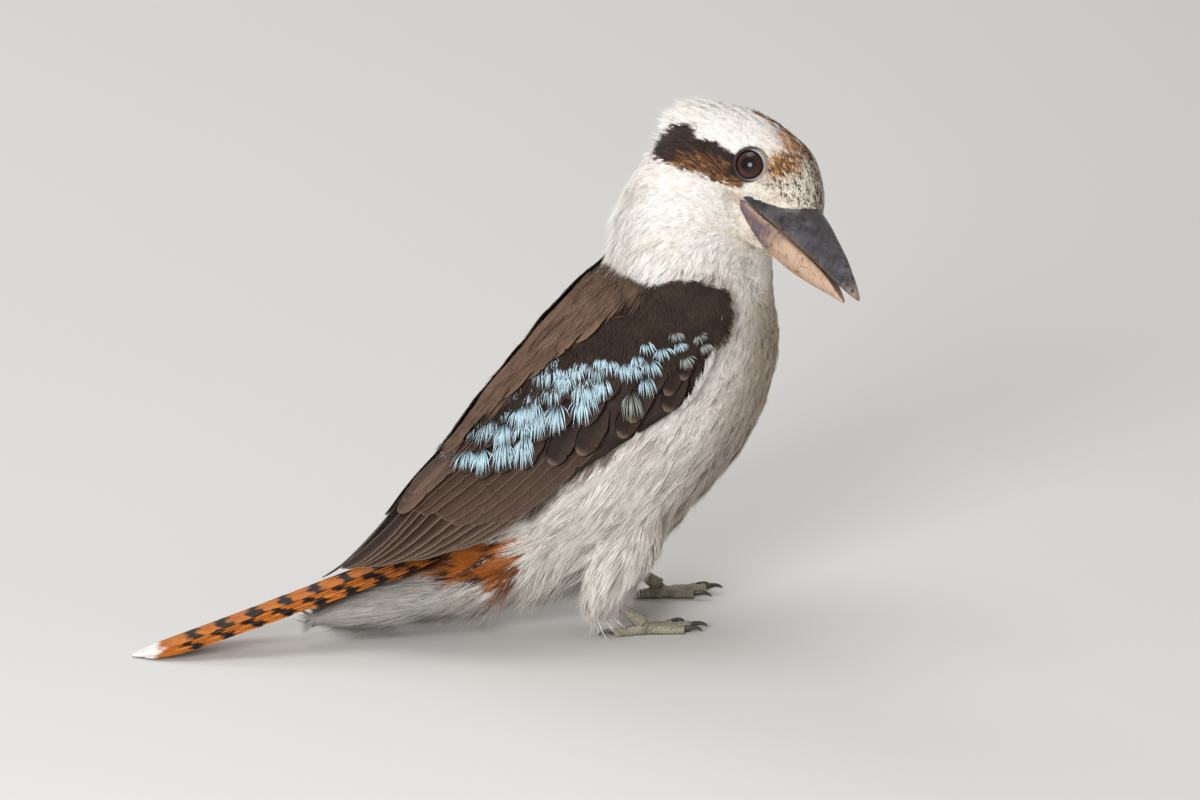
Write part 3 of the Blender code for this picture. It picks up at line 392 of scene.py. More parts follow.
def combed(points, scale, seed):
    """Like waves, but drawn out down the body."""
    flow = unit(np.array((-0.5, 0, -0.86)))
    return waves(points - (points @ flow)[..., None] * flow * 0.85, scale, seed)


HEAD_TURN = np.array(Euler([math.radians(a) for a in (HEAD_ROLL, HEAD_PITCH, HEAD_YAW)], "XYZ").to_matrix())


def on_head(points):
    return np.asarray(points, float) @ HEAD_TURN.T + HEAD_AT


def in_head(points):
    return (np.asarray(points, float) - HEAD_AT) @ HEAD_TURN


def eye_axis(side):
    """The way an eye looks, in the head's frame."""
    a = math.radians(EYE_LOOK)
    return np.array((math.sin(a), side * math.cos(a), 0))


def eye_middle(side):
    """Middle of the eye's opening, in the head's frame."""
    return np.array((EYE_AT[0], side * EYE_AT[1], EYE_AT[2]))


def eye_turn(side):
    """Turns the z axis to the way an eye looks."""
    return Vector((0, 0, 1)).rotation_difference(Vector(eye_axis(side))).to_matrix()


def from_eye(gap, side):
    """Height along an eye's axis, and distance from that axis, of points seen from the eye."""
    axis = eye_axis(side)
    height = gap @ axis
    return height, np.linalg.norm(gap - height[:, None] * axis, axis=1)


def eye_centre(side):
    return eye_middle(side) - eye_axis(side) * EYE_DEPTH


def bird_shift():
    """From the bird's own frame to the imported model's, by the middle of the right eye."""
    low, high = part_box("eye_right")
    return np.array((low + high) / 2) / MM - on_head(eye_centre(-1))


SHIFT = bird_shift()


def tilted(tilt):
    a = np.radians(tilt)
    zero = np.zeros_like(a)
    return np.stack((np.cos(a), zero, np.sin(a)), -1), np.stack((-np.sin(a), zero, np.cos(a)), -1)


def ring_at(centre, up, above, below, half, count):
    """A ring of points across the body, above and below high and half wide to each side."""
    a = np.linspace(0, 2 * math.pi, count, endpoint=False)[:, None]
    height = np.where(np.cos(a) > 0, above, below) * np.cos(a)
    return np.asarray(centre) + np.asarray(up) * height + np.array((0, 1, 0)) * half * np.sin(a)


def finished(obj, material, replaced=()):
    """Sets a finished piece on the bird's body."""
    obj.data.materials.clear()
    obj.data.materials.append(material)
    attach(obj, "root")
    if replaced:
        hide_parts(*replaced)


def linked(name, data):
    """A new object in the scene."""
    obj = bpy.data.objects.new(name, data)
    bpy.context.scene.collection.objects.link(obj)
    return obj


def mesh_object(name, bm):
    mesh = bpy.data.meshes.new(name)
    bm.to_mesh(mesh)
    bm.free()
    return linked(name, mesh)


def packed(points):
    """Points in the bird's own millimetres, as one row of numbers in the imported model's metres."""
    return ((points + SHIFT) * MM).astype(np.float32).ravel()


def move_points(mesh, points):
    mesh.vertices.foreach_set("co", packed(points))


def array_object(name, points, faces, colours, maps):
    """One mesh from arrays in millimetres: all faces have the same number of corners."""
    mesh = bpy.data.meshes.new(name)
    faces = np.asarray(faces, np.int32)
    mesh.vertices.add(len(points))
    move_points(mesh, points)
    mesh.loops.add(faces.size)
    mesh.loops.foreach_set("vertex_index", faces.ravel())
    mesh.polygons.add(len(faces))
    mesh.polygons.foreach_set("loop_start", np.arange(0, faces.size, faces.shape[1], dtype=np.int32))
    mesh.update(calc_edges=True)
    add_colour(mesh, colours)
    for map_name, uv in maps:
        add_map(mesh, map_name, uv[faces.ravel()])
    mesh.shade_smooth()
    return linked(name, mesh)


def add_map(mesh, name, uv):
    mesh.uv_layers.new(name=name).uv.foreach_set("vector", uv.astype(np.float32).ravel())


def sharpen_barb_rims(mesh):
    """Keeps a barb's upper side apart from its lower side, so that it shades as a flat blade."""
    ends = np.empty(len(mesh.edges) * 2, np.int32)
    mesh.edges.foreach_get("vertices", ends)
    code = np.sort(ends.reshape(-1, 2) % BARB_POINTS, axis=1) @ (10, 1)
    rim = np.isin(code, (1, 3, 14, 34))
    mesh.attributes.new("sharp_edge", "BOOLEAN", "EDGE").data.foreach_set("value", rim)


def add_colour(mesh, colours):
    rgba = np.ones((len(mesh.vertices), 4), np.float32)
    rgba[:, :3] = np.clip(colours, 0, 1)
    mesh.color_attributes.new("Plumage", "FLOAT_COLOR", "POINT").data.foreach_set("color", rgba.ravel())


def points_of(mesh):
    co = np.empty(len(mesh.vertices) * 3, np.float32)
    mesh.vertices.foreach_get("co", co)
    return co.reshape(-1, 3).astype(float) / MM - SHIFT


def bmesh_object(name, bm):
    """A bmesh built in the bird's own millimetres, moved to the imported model's place."""
    bmesh.ops.recalc_face_normals(bm, faces=bm.faces)
    bmesh.ops.transform(bm, matrix=Matrix.Scale(MM, 4) @ Matrix.Translation(Vector(SHIFT)), verts=bm.verts)
    obj = mesh_object(name, bm)
    obj.data.shade_smooth()
    return obj


def add_rings(bm, rings):
    """Adds each ring's points as a closed loop."""
    loops = []
    for ring in rings:
        loop = bmesh.ops.create_circle(bm, segments=len(ring), radius=1.0)["verts"]
        for vert, spot in zip(loop, ring):
            vert.co = spot
        loops.append(loop)
    return loops


def bridge(bm, near, far):
    inside = set(near) | set(far)
    edges = {e for v in inside for e in v.link_edges if len(e.link_faces) < 2}
    bmesh.ops.bridge_loops(bm, edges=[e for e in edges if e.verts[0] in inside and e.verts[1] in inside])


def add_loft(bm, rings):
    """Bridges a row of rings and closes both ends."""
    loops = add_rings(bm, rings)
    for near, far in zip(loops, loops[1:]):
        bridge(bm, near, far)
    for loop in (loops[0], loops[-1]):
        rim = {e for v in loop for e in v.link_edges if e.is_boundary}
        bmesh.ops.holes_fill(bm, edges=list(rim))


def remeshed(obj, voxel, passes):
    """One even surface round all of obj's closed pieces."""
    even = obj.modifiers.new("even", "REMESH")
    even.mode = "VOXEL"
    even.voxel_size = voxel * MM
    even.use_smooth_shade = True
    soften = obj.modifiers.new("soften", "SMOOTH")
    soften.factor = 0.5
    soften.iterations = passes
    graph = bpy.context.evaluated_depsgraph_get()
    made = bpy.data.meshes.new_from_object(obj.evaluated_get(graph))
    obj.modifiers.clear()
    obj.data = made
    return obj


def trunk_rings(grow):
    count, sides = TRUNK_RINGS
    return [
        ring_at((x, y, z), tilted(tilt)[1], above + grow, below + grow, half + grow, sides)
        for x, y, z, tilt, above, below, half in rows_along(TRUNK, count)
    ]


def head_rings(rows, grow, count, sides):
    """Rings in the head's frame, from rows of x, top, bottom and half width."""
    rings = []
    for x, top, bottom, half in rows_along(rows, count):
        high = (top - bottom) / 2 + grow
        ring = ring_at((x, 0, (top + bottom) / 2), (0, 0, 1), high, high, max(half + grow, 0.5), sides)
        rings.append(on_head(ring))
    return rings


def undertail_rings(grow):
    count, sides = UNDERTAIL_RINGS
    rings = []
    for x, z, high, half in rows_along(UNDERTAIL, count):
        high, half = max(high + grow, 0.6), max(half + grow, 0.8)
        rings.append(ring_at((x, 0, z), (0.2, 0, 0.98), high, high, half, sides))
    return rings


def leg_step(side):
    return LEFT_STEP if side > 0 else 0


def thigh_rings(side, grow):
    count, sides = THIGH_RINGS
    rings = []
    for dx, dy, dz, radius in rows_along(THIGH, count):
        centre = (ANKLE[0] + leg_step(side) + dx, side * (ANKLE[1] + dy), ANKLE[2] + dz)
        wide = max(radius + grow, 0.8)
        rings.append(ring_at(centre, (0.85, 0, -0.5), wide, wide, wide * 0.82, sides))
    return rings


# Colours of the plumage


def palette():
    colours = bpy.context.scene.kookaburra_colours
    return {name: np.array(getattr(colours, name)) for name in COLOUR_DEFAULTS}


def speck_share(local):
    """Share of dark barbs over the cream forehead and in front of the eye."""
    front = smooth_step(3, 10, local[:, 0]) * smooth_step(-6, 0, local[:, 2])
    return front * np.clip(0.34 + 0.3 * waves(local, 3.6, 22), 0, 1)


def head_marks(local, draw):
    """Colours of the head's feathers at points in the head's frame."""
    tone = palette()
    x, side, z = local[:, 0], np.abs(local[:, 1]), local[:, 2]
    count = len(local)
    patch, fine, streak = waves(local, 9, 21), waves(local, 3.2, 22), streaks(local, 2.6, 23)
    base = mix(tone["white"], tone["cream"], np.clip(smooth_step(-6, 18, x) * 0.7 + 0.1 * patch, 0, 1))
    base = mix(base, tone["buff"], np.clip(0.25 * streak + 0.02, 0, 0.3))
    # warm wash by the corner of the mouth and over the chin's edge
    gape = np.exp(-(((x - 3) / 5) ** 2 + ((z + 15) / 3.2) ** 2)) * smooth_step(8, 13, side)
    base = mix(base, tone["buff"], np.clip(gape * (0.7 + 0.5 * fine), 0, 1))
    # stripe along the middle of the crown, broken into streaks towards the bill
    width = 6.2 + 1.2 * patch - 3.4 * smooth_step(2, 14, x)
    crown = smooth_step(width + 1.2, width - 0.8, side) * smooth_step(-40, -26, x) * smooth_step(0, 6, z)
    rusty = smooth_step(-0.25, 0.25, streak + 0.15)
    crown_tone = mix(tone["dark"], tone["rufous_brown"], rusty)
    crown_tone = mix(crown_tone, tone["orange"], smooth_step(0.1, 0.5, streaks(local, 2.2, 27)) * 0.85)
    gaps = smooth_step(-0.75, -0.35, streaks(local, 2.0, 29) + 0.3 * smooth_step(3, 0, side))
    base = mix(base, crown_tone, crown * gaps * (draw.random(count) < 0.92 - 0.3 * smooth_step(4, 14, x)))
    # orange-brown in front of the eye and up beside the crown stripe
    orange = np.exp(-(((x - 10.5) / 5.0) ** 2 + ((z - 9.5) / 6.6) ** 2)) * smooth_step(5, 9, side) * 2.1
    beside = np.exp(-(((x - 3) / 9) ** 2 + ((side - 7.5) / 4.4) ** 2)) * smooth_step(10, 15, z) * 1.2
    orange = np.maximum(orange, beside)
    orange = np.clip(orange * (0.85 + 0.5 * streaks(local, 2.0, 24) + draw.normal(0, 0.3, count)), 0, 1)
    base = mix(base, tone["orange"], orange)
    darker = smooth_step(0.1, 0.6, streaks(local, 1.7, 25) + draw.normal(0, 0.35, count))
    base = mix(base, tone["rufous_brown"], orange * darker * 0.8)
    base = mix(base, tone["dark"], (draw.random(count) < speck_share(local)) * 0.9)
    # dark stripe through and behind the eye
    upper, lower = np.interp(x, *STRIPE_TOP), np.interp(x, *STRIPE_FOOT)
    ragged = 1.3 * fine + draw.normal(0, 0.7, count)
    stripe = smooth_step(-0.8, 0.8, upper - z + ragged * 0.6)
    stripe = stripe * smooth_step(-0.8, 0.8, z - lower + ragged * 0.9)
    stripe = stripe * smooth_step(-52, -48, x + 3 * ragged)
    stripe = stripe * smooth_step(5.5, 2.5, x) * smooth_step(7, 12, side)
    depth = (upper - z) / np.maximum(upper - lower, 1)
    black = smooth_step(-20, -29, x + 5 * streak) * 0.92
    black = np.maximum(black, smooth_step(0.42, 0.2, depth + 0.22 * streak) * 0.9)
    black = np.maximum(black, smooth_step(-10, -4.5, x) * smooth_step(0.85, 0.6, depth))
    rusty = streaks(local, 1.9, 26) + 0.6 * (depth - 0.4) + draw.normal(0, 0.4, count)
    stripe_tone = mix(tone["dark"] * 1.8, tone["rufous_brown"], smooth_step(-0.3, 0.5, rusty))
    bright = streaks(local, 1.7, 28) + 1.2 * (depth - 0.65) + draw.normal(0, 0.35, count)
    stripe_tone = mix(stripe_tone, tone["orange"], smooth_step(0.25, 0.85, bright) * 0.5)
    stripe_tone = mix(stripe_tone, tone["dark"], black)
    return mix(base, stripe_tone, stripe)


def trunk_place(points):
    """Station along the trunk and angle from the spine in degrees, for points on or near it."""
    stations = np.linspace(0, len(TRUNK) - 1, 121)
    rows = between(TRUNK, stations)
    forward, dorsal = tilted(rows[:, 3])
    across = points[:, None, :] - rows[None, :, :3]
    along = np.abs((across * forward[None]).sum(-1))
    near = np.linalg.norm(across, axis=-1)
    best = np.argmin(along + 0.15 * near, axis=1)
    gap = across[np.arange(len(points)), best]
    height = (gap * dorsal[best]).sum(-1)
    return stations[best], np.degrees(np.arctan2(np.abs(gap[:, 1]), height))


def body_marks(points, draw):
    """Colours of the trunk's and legs' feathers."""
    tone = palette()
    station, turn = trunk_place(points)
    patch, fine = waves(points, 26, 31), waves(points, 7, 32)
    count = len(points)
    x, side, z = points[:, 0], np.abs(points[:, 1]), points[:, 2]
    low = smooth_step(150, 60, z)
    base = mix(tone["white"], tone["breast"], np.clip(0.1 + 0.75 * low + 0.15 * patch, 0, 1))
    # Buff wash on the front of the breast: partly the feathers' own warm tone, partly painted shade deepening
    # it
    breast = smooth_step(20, 45, x) * smooth_step(168, 140, z)
    base = mix(base, tone["buff"], np.clip(0.55 * breast + 0.12 * fine + 0.1 * patch, 0, 1))
    # painted shade under the tail and on the chest
    base = base * (1 - 0.42 * smooth_step(-86, -104, x) * smooth_step(40, 30, z))[:, None]
    chest = smooth_step(-2, 22, x - 0.4 * (z - 90)) * smooth_step(160, 130, z)
    base = base * (1 - np.outer(chest, (0.32, 0.38, 0.44)))
    base = mix(base, tone["grey"], (draw.random(count) < 0.2 * low) * 0.6)
    # brownish streaks where the neck meets the wing
    collar = np.exp(-((np.stack((x, side, z), 1) - COLLAR_AT) ** 2 / COLLAR_REACH**2).sum(1))
    base = mix(base, tone["buff"], collar * 0.55)
    base = mix(base, tone["streak"], np.clip(1.2 * collar, 0, 1) * (draw.random(count) < 0.35) * 0.8)
    # mantle and back
    ragged = 0.16 * fine + draw.normal(0, 0.07, count)
    mantle = smooth_step(-0.08, 0.08, np.interp(turn, *MANTLE_EDGE) + ragged - station)
    mantle = mantle * smooth_step(84, 76, turn + 6 * fine) * (z > 30)
    brown = np.clip(0.2 + 0.2 * patch + 0.4 * (draw.random(count) - 0.5), 0, 1)
    base = mix(base, mix(tone["mantle"], tone["brown"], brown), mantle)
    # rufous rump and flanks with dark bars, down to the white feathers under the tail
    flank = smooth_step(-1.5, 1.5, z - np.interp(x, *FLANK_EDGE) + 2.5 * fine)
    flank = flank * smooth_step(-73, -79, x + 3 * fine)
    flank = flank * np.maximum(smooth_step(55, 47, z + 2 * fine), smooth_step(60, 45, turn))
    flank = flank * (draw.random(count) < 0.97)
    bars = np.sin((x * 0.95 - z * 0.35 + 1.6 * fine) * 2 * math.pi / 12.5)
    rufous = mix(tone["rufous"], tone["rufous_light"], np.clip(0.4 + 0.6 * patch, 0, 1))
    rufous = mix(rufous, tone["bar"], smooth_step(0.1, 0.7, bars) * smooth_step(-66, -84, x) * 0.9)
    return mix(base, rufous, flank)


def coat_colours(points, draw):
    local = in_head(points)
    head_share = smooth_step(-46, -38, local[:, 0]) * smooth_step(-34, -29, local[:, 2])
    body, head = body_marks(points, draw), head_marks(local, draw)
    return mix(body, head, head_share)


# Materials


def new_material(name):
    material = bpy.data.materials.new(name)
    material.use_nodes = True
    return material, material.node_tree, material.node_tree.nodes["Principled BSDF"]


def set_inputs(tree, node, inputs):
    """Sets a node's inputs, each to a value or to the output that feeds it."""
    for key, value in inputs.items():
        if isinstance(value, bpy.types.NodeSocket):
            tree.links.new(value, node.inputs[key])
        else:
            node.inputs[key].default_value = value


def add_node(tree, kind, output, inputs=None, **settings):
    """Adds a shader node with its settings and inputs, and gives its named output."""
    node = tree.nodes.new("ShaderNode" + kind)
    for key, value in settings.items():
        setattr(node, key, value)
    set_inputs(tree, node, inputs or {})
    return node.outputs[output]


def own_colour(tree):
    return add_node(tree, "Attribute", "Color", attribute_name="Plumage")


def own_place(tree):
    return add_node(tree, "TexCoord", "Object")


def shaded(tree, colour, value):
    """Colour times value."""
    inputs = {"Factor": 1.0, "A": colour, "B": value}
    return add_node(tree, "Mix", "Result", inputs, data_type="RGBA", blend_type="MULTIPLY")


def feather_material(name, roughness=0.75, sheen=0.12, grain=520.0, depth=0.25):
    """Soft barbs: the piece's own colours with fine grain along its surface."""
    material, tree, shader = new_material(name)
    noise = add_node(tree, "TexNoise", "Fac", {"Vector": own_place(tree), "Scale": grain, "Detail": 3.0})
    value = {"Value": noise, "To Min": 1 - depth, "To Max": 1 + depth * 0.6}
    value = add_node(tree, "MapRange", "Result", value)
    finish = {
        "Base Color": shaded(tree, own_colour(tree), value),
        "Roughness": roughness,
        "Sheen Weight": sheen,
        "Sheen Roughness": 0.5,
        "Specular IOR Level": 0.22,
    }
    set_inputs(tree, shader, finish)
    return material


# Slant of the barbs from the shaft, how far they are drawn out, and how fine they are
BARB_SLANT, BARB_STRETCH, BARB_GRAIN = -1.3, 0.12, 24.0


def vane_material(name, roughness=0.6, contrast=0.3):
    """A vane with barbs that slant back from its shaft, read from the Vane map in centimetres."""
    material, tree, shader = new_material(name)
    uv = add_node(tree, "UVMap", "UV", uv_map="Vane")
    along = add_node(tree, "SeparateXYZ", "X", {"Vector": uv})
    across = add_node(tree, "Math", "Value", {0: along.node.outputs["Y"]}, operation="ABSOLUTE")
    slant = {0: across, 1: BARB_SLANT, 2: along}
    slant = add_node(tree, "Math", "Value", slant, operation="MULTIPLY_ADD")
    outward = add_node(tree, "Math", "Value", {0: across, 1: BARB_STRETCH}, operation="MULTIPLY")
    spot = add_node(tree, "CombineXYZ", "Vector", {"X": slant, "Y": outward})
    noise = add_node(tree, "TexNoise", "Fac", {"Vector": spot, "Scale": BARB_GRAIN, "Detail": 2.0})
    value = {"Value": noise, "From Min": 0.3, "From Max": 0.7, "To Min": 1 - contrast, "To Max": 1 + contrast}
    value = add_node(tree, "MapRange", "Result", value)
    finish = {
        "Base Color": shaded(tree, own_colour(tree), value),
        "Normal": add_node(tree, "Bump", "Normal", {"Height": noise, "Strength": 0.35, "Distance": 0.0002}),
        "Roughness": roughness,
        "Specular IOR Level": 0.1,
    }
    set_inputs(tree, shader, finish)
    return material


# Skin


def build_skin(material):
    bm = bmesh.new()
    depth = bpy.context.scene.kookaburra_sizes.coat_depth / MM
    add_loft(bm, trunk_rings(-depth))
    add_loft(bm, head_rings(HEAD, -depth * 0.7, *HEAD_RINGS))
    add_loft(bm, undertail_rings(-depth))
    add_loft(bm, head_rings(CHIN, 0, *CHIN_RINGS))
    for side in (-1, 1):
        add_loft(bm, thigh_rings(side, -depth * 0.8))
    skin = remeshed(bmesh_object("skin", bm), *SKIN_GRID)
    mesh = skin.data
    co = points_of(mesh)
    # the skin sinks back behind each eyeball
    for side in (-1, 1):
        height, reach = from_eye(in_head(co) - eye_middle(side), side)
        sink = (1 - smooth_step(6.3, EYE_RADIUS, reach)) * np.clip(height + 4.0, 0, None) * (height > -8)
        co = on_head(in_head(co) - eye_axis(side) * sink[:, None])
    move_points(mesh, co)
    mesh.update()
    # Painted shade: the skin takes the coat's colours, darkened by SKIN_SHADE as if under the feathers
    add_colour(mesh, coat_colours(co, np.random.default_rng(5)) * SKIN_SHADE)
    corners = np.empty(len(mesh.loops), np.int32)
    mesh.loops.foreach_get("vertex_index", corners)
    add_map(mesh, "OFBake", unwrapped(co)[corners])
    mesh.shade_smooth()
    flesh = ("torso", "neck", "head", "rump", "undertail", "thigh_right", "thigh_left")
    finished(skin, material, flesh)
    return skin


def share_round(across, up):
    """Share of a full turn, from 0 to 1."""
    return np.arctan2(across, up) / (2 * math.pi) + 0.5


def unwrapped(points):
    """The skin's own unwrap: head, trunk, undertail and each thigh rolled out in its own tile."""
    local = in_head(points)
    x, y, z = points.T
    station, _ = trunk_place(points)
    rows = between(TRUNK, station)
    _, dorsal = tilted(rows[:, 3])
    turn = share_round(y, ((points - rows[:, :3]) * dorsal).sum(1))
    uv = np.stack((0.02 + 0.46 * turn, 0.02 + 0.9 * station / (len(TRUNK) - 1)), 1)
    head = (local[:, 0] > -42) & (local[:, 2] > -31) & (z > 165)
    turn = share_round(local[:, 1], local[:, 2] + 3)
    along = np.clip((local[:, 0] + 60) / 95, 0, 1)
    uv[head] = np.stack((0.52 + 0.46 * turn, 0.52 + 0.46 * along), 1)[head]
    skirt = (z < 38) & (x < -84)
    turn = share_round(y, z - 16)
    uv[skirt] = np.stack((0.52 + 0.22 * turn, 0.02 + 0.4 * (x + 165) / 85), 1)[skirt]
    for side in (-1, 1):
        gap = points[:, :2] - np.array((ANKLE[0] + leg_step(side) + 6, side * (ANKLE[1] + 0.6)))
        leg = (np.linalg.norm(gap, axis=1) < 19) & (z < 42) & (np.abs(y) > 14)
        tile = 0.77 + (0.11 if side > 0 else 0)
        turn = share_round(gap[:, 1], gap[:, 0])
        uv[leg] = np.stack((tile + 0.09 * turn, 0.02 + 0.4 * z / 45), 1)[leg]
    return np.clip(uv, 0.001, 0.997)


# Small feathers


def lie_table():
    rows = []
    for spot, lie, *size in HEAD_LIE:
        for side in (-1, 1) if spot[1] else (1,):
            turned = np.array(lie) * (1, side, 1)
            rows.append((*on_head((spot[0], side * spot[1], spot[2])), *(HEAD_TURN @ turned), *size))
    for spot, lie, *size in BODY_LIE:
        for side in (-1, 1) if spot[1] else (1,):
            rows.append((spot[0], side * spot[1], spot[2], lie[0], side * lie[1], lie[2], *size))
    return np.array(rows)


LIE_ROWS = lie_table()


def flat_on(lie, normals):
    """The lie, turned to run along the surface."""
    return unit(lie - normals * (lie * normals).sum(1, keepdims=True))


def lie_at(points):
    """Lie, length, width and rise of the small feathers at points, blended from the named rows."""
    gap = np.linalg.norm(points[:, None, :] - LIE_ROWS[None, :, :3], axis=2)
    weight = 1 / (gap**2 + 30) ** 2
    weight /= weight.sum(1, keepdims=True)
    blend = weight @ LIE_ROWS[:, 3:]
    return blend[:, :3], blend[:, 3], blend[:, 4], blend[:, 5]


class Ground:
    """Finds the surface that small feathers lie on: the skin, or the folded wing over it."""

    def __init__(self, obj):
        mesh = obj.data
        mesh.calc_loop_triangles()
        self.points = points_of(mesh)
        corners = np.empty(len(mesh.loop_triangles) * 3, np.int32)
        mesh.loop_triangles.foreach_get("vertices", corners)
        self.faces = corners.reshape(-1, 3)
        self.tree = BVHTree.FromPolygons([tuple(p) for p in self.points], [tuple(f) for f in self.faces])
        self.cover = wing_cover(FIRST_STATION, 5.9, 0)
        self.core = wing_cover(FIRST_STATION + 0.1, 5.6, 3)

    def over(self, spot, normal):
        """Where the folded wing lies over a spot of the skin, if it does."""
        hit, cover_normal, _, _ = self.cover.ray_cast(Vector(spot), Vector(normal), WING_REACH)
        if hit is None:
            return None
        return np.array(hit), np.array(cover_normal) * (1 if cover_normal.dot(Vector(normal)) > 0 else -1)

    def covered(self, roots, normals):
        """True where the wing hides a root, a little within its edges."""
        hits = [self.core.ray_cast(Vector(p), Vector(n), WING_REACH)[0] for p, n in zip(roots, normals)]
        return np.array([hit is not None for hit in hits])

    def under_wing(self, points):
        spots = [self.tree.find_nearest(Vector(p))[:2] for p in points]
        return self.covered(*(np.array(values) for values in zip(*spots)))

    def nearest(self, points):
        spots, normals = np.empty_like(points), np.empty_like(points)
        for i, p in enumerate(points):
            spot, normal, _, _ = self.tree.find_nearest(Vector(p))
            spots[i], normals[i] = self.over(spot, normal) or (spot, normal)
        return spots, normals

    def scattered(self, spacing, draw):
        """Even random roots, spacing(points) millimetres apart."""
        a, b, c = (self.points[self.faces[:, i]] for i in range(3))
        normal = np.cross(b - a, c - a)
        area = np.linalg.norm(normal, axis=1) / 2
        expected = area / spacing((a + b + c) / 3) ** 2
        total = np.cumsum(expected)
        picks = np.searchsorted(total, (np.arange(int(total[-1])) + draw.random(int(total[-1]))))
        picks = np.clip(picks, 0, len(area) - 1)
        u, v = draw.random(len(picks)), draw.random(len(picks))
        flip = u + v > 1
        u, v = np.where(flip, 1 - u, u), np.where(flip, 1 - v, v)
        spots = a[picks] + (b - a)[picks] * u[:, None] + (c - a)[picks] * v[:, None]
        return spots, unit(normal)[picks]


def wing_edges(k):
    """Upper and lower edge of the wing in degrees from the spine."""
    upper, lower = np.moveaxis(between(WING_EDGES, np.clip(k, 0, 8)), -1, 0)
    return upper - 28 * np.minimum(k, 0), lower


def wing_cover(first, last, inset):
    """A smooth sheet over each folded wing, which the body's feathers lap over at its edges."""
    points, faces = [], []
    for side in (-1, 1):
        ks, share = np.linspace(first, last, 76), np.linspace(0, 1, 26)
        upper, lower = wing_edges(ks)
        upper, lower = nearest_angle(upper, side) + inset, lower - inset
        angles = upper[:, None] + (lower - upper)[:, None] * share
        lift = 0.4 + 2.6 * np.sin(math.pi * share)[None, :] ** 0.4 * smooth_step(-1.2, 0.4, ks)[:, None]
        sheet = hull(ks[:, None] + 0 * angles, angles, lift, side)
        grid = np.arange(sheet.shape[0] * sheet.shape[1]).reshape(sheet.shape[:2]) + len(points)
        points.extend(map(tuple, sheet.reshape(-1, 3)))
        quads = np.stack((grid[:-1, :-1], grid[1:, :-1], grid[1:, 1:], grid[:-1, 1:]), -1)
        faces.extend(map(tuple, quads.reshape(-1, 4).tolist()))
    return BVHTree.FromPolygons(points, faces)


def guide_lines(ground, roots, normals, length, rise):
    """Root, middle and tip of each small feather, on the ground or hanging free, drawn into locks."""
    lie = flat_on(lie_at(roots)[0], normals)
    free = smooth_step(1.5, 3.0, rise)[:, None]
    straight = roots + lie * length[:, None] * 0.5
    middle, middle_normal = ground.nearest(straight)
    middle = middle + (straight - middle) * free * 0.5
    turned = flat_on(lie_at(middle)[0], middle_normal)
    sway = (waves(roots, 15, 41) * LOCK_SWAY * smooth_step(8, 17, length))[:, None]
    sway = np.cross(middle_normal, turned) * sway
    middle = middle + sway * 0.35
    straight = middle + turned * length[:, None] * 0.5 + sway
    tip, tip_normal = ground.nearest(straight)
    tip = tip + (straight - tip) * free * 0.85
    guide = np.stack((roots, middle, tip), 1)
    reach = np.where(ground.under_wing(tip), WING_OVERLAP, 1.0)[:, None]
    guide[:, 1], guide[:, 2] = along_guide(guide, reach * 0.5)[:, 0], along_guide(guide, reach)[:, 0]
    return guide, np.stack((normals, middle_normal, tip_normal), 1)


def draw_together(guide, length, draw):
    """Pulls small feathers sideways towards one feather of each lock, so that the coat parts in places."""
    leaders = draw.choice(len(guide), len(guide) // LOCK_SIZE, replace=False)
    tree = KDTree(len(leaders))
    for number, i in enumerate(leaders):
        tree.insert(Vector(guide[i, 0]), number)
    tree.balance()
    own = leaders[[tree.find(Vector(p))[1] for p in guide[:, 0]]]
    gap = guide[own, 2] - guide[:, 2]
    flow = unit(guide[:, 2] - guide[:, 0])
    gap = gap - flow * (gap * flow).sum(1, keepdims=True)
    pull = LOCK_PULL * smooth_step(8, 15, length) * (np.linalg.norm(gap, axis=1) < 9)
    guide[:, 2] += gap * pull[:, None]
    guide[:, 1] += gap * pull[:, None] * 0.35
    guide[:, 2, 2] = np.maximum(guide[:, 2, 2], LOWEST_TIP)


def along_guide(guide, s):
    """Points at share s along the curve through root, middle and tip."""
    s = s[..., None]
    root, middle, tip = (guide[:, i][:, None] for i in range(3))
    return root * (1 - s) * (1 - 2 * s) + middle * 4 * s * (1 - s) + tip * s * (2 * s - 1)


def barbs_from(guide, normals, width, count, lift, rise, draw, spread=0.5, ragged=0.14):
    """Splits each small feather into loose barbs; gives root, bend and tip of each, and its frame."""
    feathers = len(guide)
    share = np.linspace(-1, 1, count)[None, :] + draw.normal(0, 0.12, (feathers, count))
    across = unit(np.cross(normals[:, 1], guide[:, 2] - guide[:, 0]))[:, None]
    start = draw.uniform(0, 0.22, (feathers, count))
    end = np.clip(1 - 0.25 * share**2 + draw.normal(0, ragged, (feathers, count)), 0.5, 1.1)
    bend = start + (end - start) * 0.45
    wide = width[:, None, None]
    up = unit(normals.mean(1))[:, None]
    height = lift[:, None] * (1 + draw.normal(0, 0.2, (feathers, count)))
    root = along_guide(guide, start) + across * share[..., None] * wide * 0.3 * (1 - spread) - up * 0.5
    middle = along_guide(guide, bend) + across * share[..., None] * wide * 0.42 + up * height[..., None]
    rise = rise[:, None] * draw.uniform(0.55, 1.25, (feathers, count))
    tip = along_guide(guide, end) + across * share[..., None] * wide * 0.5 * (1 + spread * 0.3)
    tip = tip + up * rise[..., None]
    tip[..., 2] = np.maximum(tip[..., 2], 1.0)
    return root, middle, tip, np.broadcast_to(up, root.shape)


# Points and faces of one barb, and the patch that it takes in its feather's unwrap
BARB_POINTS = 5
BARB_SHAPE = np.array(((1, 2, 4), (2, 3, 4), (3, 1, 4), (2, 1, 0), (3, 2, 0), (1, 3, 0)))
BARB_PATCH = np.array(((0, 0.0015), (0.0012, 0.0), (0.0012, 0.0015), (0.0012, 0.003), (0.003, 0.0015)))


